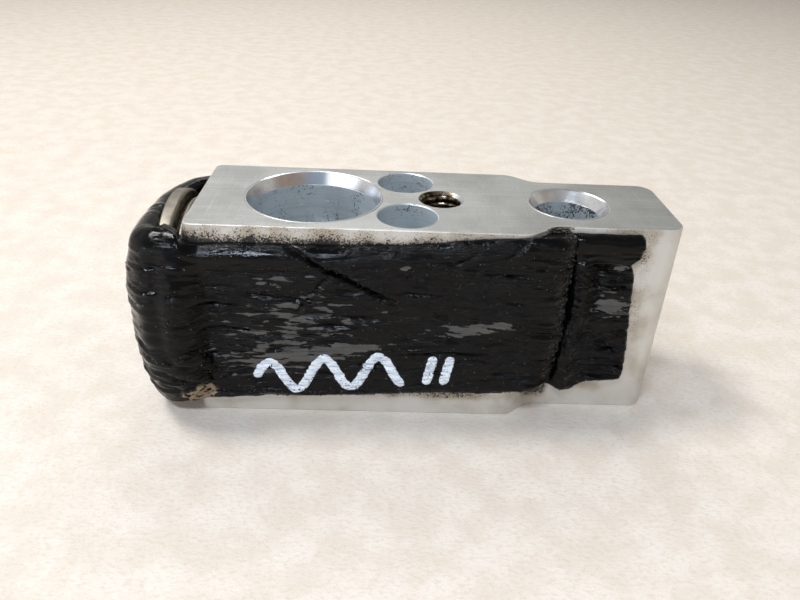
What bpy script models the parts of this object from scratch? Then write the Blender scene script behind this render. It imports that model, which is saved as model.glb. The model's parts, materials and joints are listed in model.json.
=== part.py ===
"""Block-type thermostatic expansion valve for a vehicle air conditioner, wrapped in insulation tape.

Run it with blender --background --python part.py, or from Blender's text editor.

The block lies on its evaporator face. +Z points along the port axes to the pipe face, and +X along the
stem from the diaphragm head to the adjusting screw. The origin is the middle of the evaporator face.

All sizes below are in millimetres. A station is a distance along the stem from the block's head end,
so what lies outside the block, on the head, has a negative station.
"""

import math

import bmesh
import bpy
from mathutils import Vector

MM = 0.001

# Clearances
FIT = 0.05  # between pieces that are clamped, seated or guided
RUN = 0.10  # between a sliding piece and its bore
THREAD_FIT = 0.15  # between a screw and its tapped bore, which are both smooth here
CUT_PAST = 2.0  # how far a cutter runs past the face that it opens

# Places of the ports along the block
HEAD_END_WALL = 6.65  # from the block's head end to the suction port's mouth
PORT_SPACING = 38.0
INLET_TO_TAIL = 15.2
INLET_TO_OUTLET = 10.8
BOLT_WEB = 0.55  # between the suction port's mouth and a bolt's counterbore
BOLT_TO_STUD = 5.2

# Block
BLOCK_HEIGHT = 31.0
SUCTION_SIDE_WALL = 1.75
SCREW_SIDE_WALL = 2.85
SHOULDER_LENGTH = 3.7
INLET_TO_SHOULDER = 3.7
HEAD_CORNER_RADIUS = 1.2
TAIL_CORNER_RADIUS = 2.5
SHOULDER_BLEND_RADIUS = 3.0

# Suction passage, from face to face
SUCTION_RADIUS = 9.3
SUCTION_MOUTH = 0.85  # radial width of the lead-in cone
SUCTION_MOUTH_DEPTH = 1.9
SUCTION_PILOT_DEPTH = 11.0
SUCTION_PASSAGE_RADIUS = 7.5

# Liquid ports
INLET_RADIUS = 4.8
INLET_PILOT_DEPTH = 8.5
OUTLET_RADIUS = 5.2
OUTLET_PILOT_DEPTH = 9.0
LIQUID_MOUTH = 1.3
LIQUID_MOUTH_DEPTH = 1.6
LIQUID_PASSAGE_RADIUS = 3.4

# Fixing holes
BOLT_HOLE_RADIUS = 2.75
BOLT_HEAD_RADIUS = 4.3
BOLT_HEAD_DEPTH = 8.0
BOLT_SIDE_WALL = 0.8
STUD_MINOR_RADIUS = 2.5
STUD_MOUTH_RADIUS = 3.35
STUD_HOLE_DEPTH = 9.5
EDGE_BREAK = 0.2

# Diaphragm head
RIM_RADIUS = 14.85
SHEET = 0.7
NECK_RADIUS = 7.8
NECK_BORE_RADIUS = 5.4
NECK_LENGTH = 5.6
NECK_SOCKET_EXTRA = 0.6  # how much deeper the block's socket is than the neck
HEAD_LIFT = 0.35  # gap between the head's shoulder and the block's end
BASE_FLOOR = 1.1  # thickness of the base over the block
FLANGE_THICKNESS = 0.6
GROOVE_WIDTH = 0.95
LIP_WIDTH = 0.9
LIP_THICKNESS = 0.45
CLAMP_LAND = 2.9
DIAPHRAGM_THICKNESS = 0.25
DIAPHRAGM_WAVE = 0.2
DOME_RISE = 2.8
DOME_FLAT_RADIUS = 3.5
CHARGE_HOLE_RADIUS = 0.85
PLUG_HEAD_RADIUS = 1.7
PLUG_HEAD_HEIGHT = 0.7

# Seals
HEAD_SEAL_SECTION = 1.3
ROD_SEAL_SECTION = 1.7
SCREW_SEAL_SECTION = 1.24
SEAL_BORE_DEPTH = 4.0
RETAINER_THICKNESS = 0.7

# Stem
STROKE = 0.8
STROKE_SPARE = 0.25  # room left in the head when the valve is fully open
PAD_THICKNESS = 1.1
PAD_RADIUS = 8.2
PAD_STEM_RADIUS = 4.2
PAD_STEM_LENGTH = 4.4
ROD_RADIUS = 2.8
SOCKET_DEPTH = 1.6
ROD_END_SPARE = 1.0  # from the rod's end to the suction passage's wall, with the valve fully open
PIN_RADIUS = 1.2
PIN_SOCKET_DEPTH = 3.6
PIN_TIP_RADIUS = 0.8
ORIFICE_RADIUS = 1.75
ORIFICE_LENGTH = 1.6
SEAT_WIDTH = 1.4  # radial width of the 45 degree seat
BALL_RADIUS = 2.6

# Ball holder, springs and chamber
CHAMBER_RADIUS = 5.5
HOLDER_FLANGE_THICKNESS = 0.9
HOLDER_WALL = 0.45
SPIGOT_RADIUS = 2.2
SPIGOT_LENGTH = 2.4
DAMPER_SHEET = 0.25
DAMPER_LEGS = 3
DAMPER_LEG_WIDTH = 1.8
DAMPER_LEG_LENGTH = 1.7
SPRING_WIRE = 0.9
SPRING_RADIUS = 3.1
SPRING_PITCH = 1.45
SPRING_END_TURNS = 0.75

# Adjusting screw
SCREW_BORE_STEP = 0.5  # how much wider the tapped bore is than the chamber
SCREW_THREAD_LENGTH = 3.4
SCREW_SEAL_LENGTH = 6.4
SCREW_RECESS = 1.2
SCREW_TRAVEL = 1.0
SCREW_POCKET_RADIUS = 4.0
SCREW_POCKET_DEPTH = 1.5
SCREW_GROOVE_START = 2.2
SCREW_GROOVE_WIDTH = 1.4
HEX_ACROSS_FLATS = 5.0
HEX_DEPTH = 3.2

# Insulation tape
TAPE_THICKNESS = 1.4
TAPE_GAP = 0.15
TAPE_PAST_BASE = 0.5  # where the tape reaches its full width over the head, past the base's shoulder
TAPE_LOW_EDGE = 2.4
TAPE_TOP_MARGIN = 2.2
TAPE_CORNER_RADIUS = 4.0
TAPE_SEAM_GAP = 0.4
TAPE_PAST_SHOULDER = 1.5
TAIL_TAPE_LENGTH = 12.6
TAIL_TAPE_LOW_EDGE = 5.0
TAIL_TAPE_TOP_MARGIN = 0.9

# Facets
FINE = 48
MEDIUM = 32
COARSE = 24

# Worked out from the values above
STEM_HEIGHT = BLOCK_HEIGHT / 2
SUCTION_X = HEAD_END_WALL + SUCTION_MOUTH + SUCTION_RADIUS
INLET_X = SUCTION_X + PORT_SPACING
OUTLET_X = INLET_X - INLET_TO_OUTLET
BLOCK_LENGTH = INLET_X + INLET_TO_TAIL
SCREW_BORE_RADIUS = CHAMBER_RADIUS + SCREW_BORE_STEP
SCREW_RADIUS = SCREW_BORE_RADIUS - THREAD_FIT
BLOCK_WIDTH = 2 * (SUCTION_RADIUS + SUCTION_MOUTH + SUCTION_SIDE_WALL)
NARROW_WIDTH = 2 * (SCREW_BORE_RADIUS + SCREW_SIDE_WALL)
SHOULDER_END = INLET_X - INLET_TO_SHOULDER
SHOULDER_START = SHOULDER_END - SHOULDER_LENGTH
BOLT_Y = BLOCK_WIDTH / 2 - BOLT_SIDE_WALL - BOLT_HEAD_RADIUS - EDGE_BREAK
SUCTION_TO_BOLT = SUCTION_RADIUS + SUCTION_MOUTH + BOLT_WEB + BOLT_HEAD_RADIUS + EDGE_BREAK
BOLT_X = SUCTION_X + math.sqrt(SUCTION_TO_BOLT**2 - BOLT_Y**2)
STUD_X = BOLT_X + BOLT_TO_STUD

BASE_FACE = -HEAD_LIFT
CAVITY_FLOOR = BASE_FACE - BASE_FLOOR
FLANGE_TOP = CAVITY_FLOOR - PAD_THICKNESS - STROKE - STROKE_SPARE
FLANGE_UNDER = FLANGE_TOP + FLANGE_THICKNESS
FLANGE_RADIUS = RIM_RADIUS - SHEET - FIT
DIAPHRAGM_UNDER = FLANGE_TOP - FIT
DIAPHRAGM_TOP = DIAPHRAGM_UNDER - DIAPHRAGM_THICKNESS
CAP_UNDER = DIAPHRAGM_TOP - FIT
CAP_TOP = CAP_UNDER - SHEET
CLAMP_RADIUS = FLANGE_RADIUS - CLAMP_LAND
LIP_RADIUS = FLANGE_RADIUS - LIP_WIDTH
GROOVE_RADIUS = LIP_RADIUS - 0.3
BEAD_RADIUS = LIP_RADIUS + 0.4
DOME_TOP = CAP_TOP - DOME_RISE

PAD_TOP = DIAPHRAGM_UNDER + FIT
PAD_UNDER = PAD_TOP + PAD_THICKNESS
PAD_END = PAD_UNDER + PAD_STEM_LENGTH
ROD_START = PAD_END - SOCKET_DEPTH + FIT
SEAL_BORE_START = SUCTION_X + SUCTION_PASSAGE_RADIUS
SEAL_BORE_END = SEAL_BORE_START + SEAL_BORE_DEPTH
GUIDE_RADIUS = PIN_RADIUS + FIT
SEAL_BORE_RADIUS = PIN_RADIUS + ROD_SEAL_SECTION + 2 * RUN
ROD_END = SEAL_BORE_START - STROKE - ROD_END_SPARE
ORIFICE_START = OUTLET_X + LIQUID_PASSAGE_RADIUS
SEAT_START = ORIFICE_START + ORIFICE_LENGTH
CHAMBER_START = SEAT_START + SEAT_WIDTH
BALL_X = SEAT_START - ORIFICE_RADIUS + (BALL_RADIUS + FIT) * math.sqrt(2)
PIN_START = ROD_END - PIN_SOCKET_DEPTH + FIT
PIN_END = BALL_X - BALL_RADIUS - FIT
PIN_TAPER_END = OUTLET_X - LIQUID_PASSAGE_RADIUS / 2
HOLDER_FACE = BALL_X + 0.4 * BALL_RADIUS
HOLDER_FLANGE = BALL_X + BALL_RADIUS + 0.4
HOLDER_BACK = HOLDER_FLANGE + HOLDER_FLANGE_THICKNESS
NOSE_RADIUS = BALL_RADIUS + HOLDER_WALL
FLANGE_OUTER = SPRING_RADIUS + SPRING_WIRE / 2 + 0.6

SCREW_FACE = BLOCK_LENGTH - SCREW_RECESS
SCREW_THREAD_START = SCREW_FACE - SCREW_THREAD_LENGTH
SCREW_START = SCREW_THREAD_START - SCREW_SEAL_LENGTH
SCREW_BORE_START = SCREW_THREAD_START - SCREW_TRAVEL - 0.2
SCREW_SEAL_RADIUS = CHAMBER_RADIUS - 1.5 * RUN
SCREW_GROOVE_X = SCREW_START + SCREW_GROOVE_START
SCREW_GROOVE_RADIUS = CHAMBER_RADIUS - SCREW_SEAL_SECTION - 1.5 * RUN
SPRING_END = SCREW_START + SCREW_POCKET_DEPTH

TAPE_TOP_EDGE = BLOCK_HEIGHT - TAPE_TOP_MARGIN
TAPE_END = SHOULDER_END + TAPE_PAST_SHOULDER
PLUG_TOP = DOME_TOP - PLUG_HEAD_HEIGHT - FIT
TAPE_INNER_END = PLUG_TOP - TAPE_GAP

# Colour, roughness and metallic value of each finish
FINISHES = {
    "anodised_aluminium": ((0.62, 0.62, 0.60), 0.38, 1.0),
    "stainless_sheet": ((0.56, 0.52, 0.46), 0.30, 1.0),
    "bright_steel": ((0.60, 0.60, 0.60), 0.22, 1.0),
    "spring_steel": ((0.42, 0.42, 0.43), 0.30, 1.0),
    "brass": ((0.66, 0.50, 0.22), 0.32, 1.0),
    "seal_rubber": ((0.02, 0.03, 0.025), 0.60, 0.0),
    "butyl_tape": ((0.014, 0.014, 0.015), 0.42, 0.0),
}


def clear_scene():
    for item in list(bpy.data.objects):
        bpy.data.objects.remove(item)


def finish(name):
    """The Principled material of that finish, made once."""
    material = bpy.data.materials.get(name)
    if material:
        return material
    colour, roughness, metallic = FINISHES[name]
    material = bpy.data.materials.new(name)
    material.use_nodes = True
    shader = material.node_tree.nodes["Principled BSDF"]
    shader.inputs["Base Color"].default_value = (*colour, 1.0)
    shader.inputs["Roughness"].default_value = roughness
    shader.inputs["Metallic"].default_value = metallic
    return material


def add_object(name, bm, finish_name=None, place=(0.0, 0.0, 0.0)):
    """An object from a bmesh in millimetres, with its origin at place."""
    bmesh.ops.recalc_face_normals(bm, faces=bm.faces)
    bmesh.ops.scale(bm, vec=(MM, MM, MM), verts=bm.verts)
    mesh = bpy.data.meshes.new(name)
    bm.to_mesh(mesh)
    bm.free()
    mesh.shade_smooth()
    mesh.set_sharp_from_angle(angle=math.radians(30))
    item = bpy.data.objects.new(name, mesh)
    item.location = Vector(place) * MM
    bpy.context.scene.collection.objects.link(item)
    if finish_name:
        mesh.materials.append(finish(finish_name))
    return item


def arc(centre, radius, start, end, steps):
    """Points on an arc, with angles in degrees."""
    points = []
    for i in range(steps + 1):
        angle = math.radians(start + (end - start) * i / steps)
        points.append((centre[0] + radius * math.cos(angle), centre[1] + radius * math.sin(angle)))
    return points


def rounded(corners, steps=6):
    """A closed outline from (x, y, fillet radius) corners, each fillet an arc."""
    points = []
    for i, (x, y, radius) in enumerate(corners):
        here = Vector((x, y))
        if radius <= 0:
            points.append(tuple(here))
            continue
        before = (Vector(corners[i - 1][:2]) - here).normalized()
        after = (Vector(corners[(i + 1) % len(corners)][:2]) - here).normalized()
        half = before.angle(after) / 2
        centre = here + (before + after).normalized() * radius / math.sin(half)
        first = here + before * radius / math.tan(half) - centre
        turn = first.angle_signed(here + after * radius / math.tan(half) - centre)
        for step in range(steps + 1):
            angle = -turn * step / steps
            spoke = (
                first.x * math.cos(angle) - first.y * math.sin(angle),
                first.x * math.sin(angle) + first.y * math.cos(angle),
            )
            points.append((centre.x + spoke[0], centre.y + spoke[1]))
    return points


def turned(profile, along, segments, ring=False):
    """A solid turned about the X or Z axis from (station, radius) points. A ring's profile is closed."""
    bm = bmesh.new()
    verts = []
    for station, radius in profile:
        verts.append(bm.verts.new((station, radius, 0) if along == "X" else (radius, 0, station)))
    pairs = list(zip(verts, verts[1:]))
    if ring:
        pairs.append((verts[-1], verts[0]))
    edges = [bm.edges.new(pair) for pair in pairs]
    axis = (1, 0, 0) if along == "X" else (0, 0, 1)
    bmesh.ops.spin(
        bm,
        geom=verts + edges,
        cent=(0, 0, 0),
        axis=axis,
        angle=2 * math.pi,
        steps=segments,
        use_merge=True,
    )
    bmesh.ops.remove_doubles(bm, verts=bm.verts, dist=1e-5)
    return bm


def prism(outline, low, high):
    """An outline in X and Y, extruded from low to high in Z."""
    bm = bmesh.new()
    face = bm.faces.new([bm.verts.new((x, y, low)) for x, y in outline])
    grown = bmesh.ops.extrude_face_region(bm, geom=[face])
    moved = [v for v in grown["geom"] if isinstance(v, bmesh.types.BMVert)]
    bmesh.ops.translate(bm, verts=moved, vec=(0, 0, high - low))
    return bm


def on_stem(name, profile, finish_name, segments=FINE, ring=False):
    """A turned piece on the stem's axis. Its profile uses stations, and its origin is the head end."""
    place = (-BLOCK_LENGTH / 2, 0, STEM_HEIGHT)
    return add_object(name, turned(profile, "X", segments, ring), finish_name, place)


def as_cutter(item):
    item.hide_render = True
    item.display_type = "WIRE"
    return item


def cut(item, cutter):
    modifier = item.modifiers.new(cutter.name, "BOOLEAN")
    modifier.operation = "DIFFERENCE"
    modifier.solver = "EXACT"
    modifier.object = as_cutter(cutter)


def block_outline():
    """The extruded bar's section, seen from above, with the wide end round the head."""
    wide, narrow = BLOCK_WIDTH / 2, NARROW_WIDTH / 2
    side = [
        (0, -wide, HEAD_CORNER_RADIUS),
        (SHOULDER_START, -wide, SHOULDER_BLEND_RADIUS),
        (SHOULDER_END, -narrow, SHOULDER_BLEND_RADIUS),
        (BLOCK_LENGTH, -narrow, TAIL_CORNER_RADIUS),
    ]
    other_side = [(x, -y, radius) for x, y, radius in reversed(side)]
    return [(x - BLOCK_LENGTH / 2, y) for x, y in rounded(side + other_side)]


def suction_cutter():
    """The suction passage: a pilot bore with a lead-in cone at each face, and a narrower middle."""
    bore, mouth = SUCTION_RADIUS, SUCTION_RADIUS + SUCTION_MOUTH
    lower = [
        (-CUT_PAST, 0),
        (-CUT_PAST, mouth),
        (0, mouth),
        (SUCTION_MOUTH_DEPTH, bore),
        (SUCTION_PILOT_DEPTH, bore),
        (SUCTION_PILOT_DEPTH, SUCTION_PASSAGE_RADIUS),
    ]
    upper = [(BLOCK_HEIGHT - z, radius) for z, radius in reversed(lower)]
    return port("suction_cutter", lower + upper, SUCTION_X)


def port(name, profile, x, y=0.0, segments=FINE):
    return add_object(name, turned(profile, "Z", segments), place=(x - BLOCK_LENGTH / 2, y, 0))


def liquid_profile(radius, pilot_depth, passage_end):
    """A liquid port, as (depth from its face, radius)."""
    return [
        (-CUT_PAST, 0),
        (-CUT_PAST, radius + LIQUID_MOUTH),
        (0, radius + LIQUID_MOUTH),
        (LIQUID_MOUTH_DEPTH, radius),
        (pilot_depth, radius),
        (pilot_depth, LIQUID_PASSAGE_RADIUS),
        (passage_end, LIQUID_PASSAGE_RADIUS),
        (passage_end, 0),
    ]


def inlet_cutter():
    depths = liquid_profile(INLET_RADIUS, INLET_PILOT_DEPTH, BLOCK_HEIGHT - STEM_HEIGHT)
    profile = [(BLOCK_HEIGHT - depth, radius) for depth, radius in depths]
    return port("inlet_cutter", profile, INLET_X)


def outlet_cutter():
    end = STEM_HEIGHT + LIQUID_PASSAGE_RADIUS
    return port("outlet_cutter", liquid_profile(OUTLET_RADIUS, OUTLET_PILOT_DEPTH, end), OUTLET_X)


def bolt_cutter(name, y):
    """A through hole with a counterbore in the pipe face for the bolt's head."""
    head_floor = BLOCK_HEIGHT - BOLT_HEAD_DEPTH
    profile = [
        (-CUT_PAST, 0),
        (-CUT_PAST, BOLT_HOLE_RADIUS + EDGE_BREAK),
        (0, BOLT_HOLE_RADIUS + EDGE_BREAK),
        (EDGE_BREAK, BOLT_HOLE_RADIUS),
        (head_floor, BOLT_HOLE_RADIUS),
        (head_floor, BOLT_HEAD_RADIUS),
        (BLOCK_HEIGHT - EDGE_BREAK, BOLT_HEAD_RADIUS),
        (BLOCK_HEIGHT, BOLT_HEAD_RADIUS + EDGE_BREAK),
        (BLOCK_HEIGHT + CUT_PAST, BOLT_HEAD_RADIUS + EDGE_BREAK),
        (BLOCK_HEIGHT + CUT_PAST, 0),
    ]
    return port(name, profile, BOLT_X, y, MEDIUM)


def stud_cutter():
    """The tapped hole for the pipe plate's bolt, at its minor diameter, with the drill's cone."""
    floor = BLOCK_HEIGHT - STUD_HOLE_DEPTH
    tip = STUD_MINOR_RADIUS / math.tan(math.radians(59))
    profile = [
        (floor - tip, 0),
        (floor, STUD_MINOR_RADIUS),
        (BLOCK_HEIGHT - STUD_MOUTH_RADIUS + STUD_MINOR_RADIUS, STUD_MINOR_RADIUS),
        (BLOCK_HEIGHT, STUD_MOUTH_RADIUS),
        (BLOCK_HEIGHT + CUT_PAST, STUD_MOUTH_RADIUS),
        (BLOCK_HEIGHT + CUT_PAST, 0),
    ]
    return port("stud_cutter", profile, STUD_X, segments=MEDIUM)


def head_socket_cutter():
    """The socket for the head's threaded neck, with a cone for its seal, open to the suction passage."""
    bore = NECK_RADIUS + 2 * RUN
    cone = HEAD_SEAL_SECTION + 6 * RUN
    profile = [
        (-CUT_PAST, 0),
        (-CUT_PAST, bore + cone),
        (0, bore + cone),
        (cone, bore),
        (NECK_LENGTH + NECK_SOCKET_EXTRA, bore),
        (NECK_LENGTH + NECK_SOCKET_EXTRA, NECK_BORE_RADIUS + NECK_SOCKET_EXTRA),
        (SUCTION_X - SUCTION_PASSAGE_RADIUS / 2, NECK_BORE_RADIUS + NECK_SOCKET_EXTRA),
        (SUCTION_X - SUCTION_PASSAGE_RADIUS / 2, 0),
    ]
    return on_stem("head_socket_cutter", profile, None)


def guide_cutter():
    """The pin's guide bore, with the seal's counterbore at the suction side."""
    profile = [
        (SUCTION_X, 0),
        (SUCTION_X, SEAL_BORE_RADIUS),
        (SEAL_BORE_END, SEAL_BORE_RADIUS),
        (SEAL_BORE_END, GUIDE_RADIUS),
        (OUTLET_X, GUIDE_RADIUS),
        (OUTLET_X, 0),
    ]
    return on_stem("guide_cutter", profile, None, MEDIUM)


def chamber_cutter():
    """The orifice, the seat, the ball's chamber and the adjusting screw's bore."""
    profile = [
        (OUTLET_X, 0),
        (OUTLET_X, ORIFICE_RADIUS),
        (SEAT_START, ORIFICE_RADIUS),
        (CHAMBER_START, ORIFICE_RADIUS + SEAT_WIDTH),
        (CHAMBER_START, CHAMBER_RADIUS),
        (SCREW_BORE_START, CHAMBER_RADIUS),
        (SCREW_BORE_START, SCREW_BORE_RADIUS),
        (BLOCK_LENGTH + CUT_PAST, SCREW_BORE_RADIUS),
        (BLOCK_LENGTH + CUT_PAST, 0),
    ]
    return on_stem("chamber_cutter", profile, None)


def make_block():
    block = add_object("valve_block", prism(block_outline(), 0, BLOCK_HEIGHT), "anodised_aluminium")
    cutters = [
        suction_cutter(),
        inlet_cutter(),
        outlet_cutter(),
        bolt_cutter("front_bolt_cutter", -BOLT_Y),
        bolt_cutter("back_bolt_cutter", BOLT_Y),
        stud_cutter(),
        head_socket_cutter(),
        guide_cutter(),
        chamber_cutter(),
    ]
    for cutter in cutters:
        cut(block, cutter)


def make_head_base():
    """The lower shell of the head, with its flange, groove, bead and threaded neck."""
    bead_start = FLANGE_UNDER + GROOVE_WIDTH
    profile = [
        (NECK_LENGTH, NECK_BORE_RADIUS),
        (NECK_LENGTH, NECK_RADIUS - EDGE_BREAK),
        (NECK_LENGTH - EDGE_BREAK, NECK_RADIUS),
        (BASE_FACE, NECK_RADIUS),
        (BASE_FACE, GROOVE_RADIUS - 1.1),
        (BASE_FACE - 0.4, GROOVE_RADIUS),
        (bead_start + 0.6, BEAD_RADIUS - 0.3),
        (bead_start + 0.4, BEAD_RADIUS),
        (bead_start + 0.15, BEAD_RADIUS),
        (bead_start, BEAD_RADIUS - 0.2),
        (bead_start, GROOVE_RADIUS),
        (FLANGE_UNDER, GROOVE_RADIUS),
        (FLANGE_UNDER, FLANGE_RADIUS),
        (FLANGE_TOP, FLANGE_RADIUS),
        (FLANGE_TOP, CLAMP_RADIUS),
        (FLANGE_TOP + SHEET, CLAMP_RADIUS - 1.0),
        (CAVITY_FLOOR, PAD_RADIUS + 1.0),
        (CAVITY_FLOOR, NECK_BORE_RADIUS),
    ]
    on_stem("head_base", profile, "stainless_sheet", ring=True)


def dome_curve(base, steps=8):
    """A smooth rise from the clamp land to the dome's flat top, as (station, radius)."""
    points = []
    for i in range(steps + 1):
        share = i / steps
        radius = DOME_FLAT_RADIUS + (CLAMP_RADIUS - DOME_FLAT_RADIUS) * share
        points.append((base - DOME_RISE * (1 + math.cos(math.pi * share)) / 2, radius))
    return points


def make_head_cap():
    """The upper shell, a dome whose rim is rolled over the base's flange and the diaphragm."""
    inner = FLANGE_RADIUS + FIT
    lip_under = FLANGE_UNDER + FIT
    lip_face = lip_under + LIP_THICKNESS
    profile = [(DOME_TOP, CHARGE_HOLE_RADIUS)]
    profile += dome_curve(CAP_TOP)
    profile += arc((CAP_TOP + SHEET, inner), SHEET, 180, 90, 4)
    profile += arc((lip_face - SHEET, inner), SHEET, 90, 0, 4)
    profile += [(lip_face, LIP_RADIUS + 0.1), (lip_face - 0.1, LIP_RADIUS), (lip_under, LIP_RADIUS)]
    profile += [(lip_under, inner), (CAP_UNDER, inner)]
    profile += reversed(dome_curve(CAP_UNDER))
    profile += [(DOME_TOP + SHEET, CHARGE_HOLE_RADIUS)]
    on_stem("head_cap", profile, "stainless_sheet", ring=True)


def make_diaphragm():
    """A thin disc, waved between the pad's edge and the clamp land."""
    wave_start, wave_end = PAD_RADIUS + 0.3, CLAMP_RADIUS - 0.5
    under = [(DIAPHRAGM_UNDER, 0)]
    for i in range(17):
        radius = wave_start + (wave_end - wave_start) * i / 16
        under.append((DIAPHRAGM_UNDER + DIAPHRAGM_WAVE * math.sin(2 * math.pi * i / 16) ** 2, radius))
    under.append((DIAPHRAGM_UNDER, FLANGE_RADIUS))
    top = [(x - DIAPHRAGM_THICKNESS, radius) for x, radius in reversed(under)]
    on_stem("diaphragm", under + top, "spring_steel", MEDIUM)


def make_charge_plug():
    """The plug welded into the dome's charge hole."""
    stem = CHARGE_HOLE_RADIUS - FIT
    profile = [
        (PLUG_TOP, 0),
        (PLUG_TOP, PLUG_HEAD_RADIUS - 0.4),
        (PLUG_TOP + 0.3, PLUG_HEAD_RADIUS),
        (DOME_TOP - FIT, PLUG_HEAD_RADIUS),
        (DOME_TOP - FIT, stem),
        (DOME_TOP + SHEET, stem),
        (DOME_TOP + SHEET, 0),
    ]
    on_stem("charge_plug", profile, "bright_steel", COARSE)


def make_seal(name, station, mean_radius, section):
    """An O-ring round the stem's axis."""
    circle = arc((station, mean_radius), section / 2, 0, 360, 10)[:-1]
    on_stem(name, circle, "seal_rubber", FINE, ring=True)


def make_seals():
    head_radius = NECK_RADIUS + RUN + HEAD_SEAL_SECTION / 2
    make_seal("head_seal", BASE_FACE + FIT + HEAD_SEAL_SECTION / 2, head_radius, HEAD_SEAL_SECTION)
    rod_radius = PIN_RADIUS + RUN + ROD_SEAL_SECTION / 2
    make_seal("rod_seal", SEAL_BORE_END - RUN - ROD_SEAL_SECTION / 2, rod_radius, ROD_SEAL_SECTION)
    screw_radius = SCREW_GROOVE_RADIUS + RUN + SCREW_SEAL_SECTION / 2
    groove_middle = SCREW_GROOVE_X + SCREW_GROOVE_WIDTH / 2
    make_seal("screw_seal", groove_middle, screw_radius, SCREW_SEAL_SECTION)


def make_seal_retainer():
    """The push-in ring that holds the rod's seal in its counterbore."""
    back = SEAL_BORE_END - 2 * RUN - ROD_SEAL_SECTION
    front = back - RETAINER_THICKNESS
    outer, inner = SEAL_BORE_RADIUS - FIT, PIN_RADIUS + 3 * RUN
    profile = [(front, inner), (front, outer - 0.25), (front + 0.25, outer), (back, outer), (back, inner)]
    on_stem("seal_retainer", profile, "brass", MEDIUM, ring=True)


def make_thrust_pad():
    """The disc that the diaphragm pushes, with a stem that holds the sensing rod."""
    socket = ROD_RADIUS + FIT
    profile = [
        (PAD_TOP, 0),
        (PAD_TOP, PAD_RADIUS - 0.3),
        (PAD_TOP + 0.3, PAD_RADIUS),
        (PAD_UNDER, PAD_RADIUS),
        (PAD_UNDER, PAD_STEM_RADIUS),
        (PAD_END - 0.3, PAD_STEM_RADIUS),
        (PAD_END, PAD_STEM_RADIUS - 0.3),
        (PAD_END, socket),
        (PAD_END - SOCKET_DEPTH, socket),
        (PAD_END - SOCKET_DEPTH, 0),
    ]
    on_stem("thrust_pad", profile, "bright_steel")


def make_sensing_rod():
    """The aluminium rod that crosses the suction passage and senses the vapour's temperature."""
    socket = PIN_RADIUS + FIT
    profile = [
        (ROD_START, 0),
        (ROD_START, ROD_RADIUS - 0.2),
        (ROD_START + 0.2, ROD_RADIUS),
        (ROD_END - 0.4, ROD_RADIUS),
        (ROD_END, ROD_RADIUS - 0.4),
        (ROD_END, socket),
        (ROD_END - PIN_SOCKET_DEPTH, socket),
        (ROD_END - PIN_SOCKET_DEPTH, 0),
    ]
    on_stem("sensing_rod", profile, "anodised_aluminium", MEDIUM)


def make_push_pin():
    """The steel pin that runs through the seal and the guide, with a thin tip in the orifice."""
    taper = PIN_RADIUS - PIN_TIP_RADIUS
    profile = [
        (PIN_START, 0),
        (PIN_START, PIN_RADIUS),
        (PIN_TAPER_END - taper, PIN_RADIUS),
        (PIN_TAPER_END, PIN_TIP_RADIUS),
        (PIN_END, PIN_TIP_RADIUS),
        (PIN_END, 0),
    ]
    on_stem("push_pin", profile, "bright_steel", COARSE)


def make_ball():
    profile = arc((BALL_X, 0), BALL_RADIUS, 180, 0, 12)
    profile[0] = (profile[0][0], 0)
    profile[-1] = (profile[-1][0], 0)
    on_stem("valve_ball", profile, "bright_steel", COARSE)


def make_ball_holder():
    """The cup behind the ball, with the flange that the spring pushes and a spigot inside the spring."""
    cup = BALL_RADIUS + FIT
    mouth_angle = math.degrees(math.acos((HOLDER_FACE - BALL_X) / cup))
    profile = arc((BALL_X, 0), cup, 0, mouth_angle, 6)
    profile[0] = (BALL_X + cup, 0)
    profile += [
        (HOLDER_FACE, NOSE_RADIUS),
        (HOLDER_FLANGE, NOSE_RADIUS),
        (HOLDER_FLANGE, FLANGE_OUTER),
        (HOLDER_BACK, FLANGE_OUTER),
        (HOLDER_BACK, SPIGOT_RADIUS),
        (HOLDER_BACK + SPIGOT_LENGTH - 0.4, SPIGOT_RADIUS),
        (HOLDER_BACK + SPIGOT_LENGTH, SPIGOT_RADIUS - 0.4),
        (HOLDER_BACK + SPIGOT_LENGTH, 0),
    ]
    on_stem("ball_holder", profile, "brass", MEDIUM)


def make_damper():
    """A sheet ring on the holder's nose, with legs that rub along the chamber's wall."""
    back = HOLDER_FLANGE - FIT
    front = back - DAMPER_SHEET
    inner, ring_outer = NOSE_RADIUS + FIT, NOSE_RADIUS + 0.75
    ring = [(front, inner), (front, ring_outer), (back, ring_outer), (back, inner)]
    damper = on_stem("damper_spring", ring, "spring_steel", MEDIUM, ring=True)
    wall = CHAMBER_RADIUS - 2 * RUN
    section = [
        (back, ring_outer - 0.3),
        (back, wall),
        (back - DAMPER_LEG_LENGTH, wall),
        (back - DAMPER_LEG_LENGTH, wall - DAMPER_SHEET),
        (front, wall - DAMPER_SHEET),
        (front, ring_outer - 0.3),
    ]
    for i in range(DAMPER_LEGS):
        leg = add_object(
            f"damper_leg_{i + 1}",
            prism(section, -DAMPER_LEG_WIDTH / 2, DAMPER_LEG_WIDTH / 2),
            place=(-BLOCK_LENGTH / 2, 0, STEM_HEIGHT),
        )
        leg.rotation_euler.x = 2 * math.pi * i / DAMPER_LEGS
        modifier = damper.modifiers.new(leg.name, "BOOLEAN")
        modifier.operation = "UNION"
        modifier.solver = "EXACT"
        modifier.object = as_cutter(leg)


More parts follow.
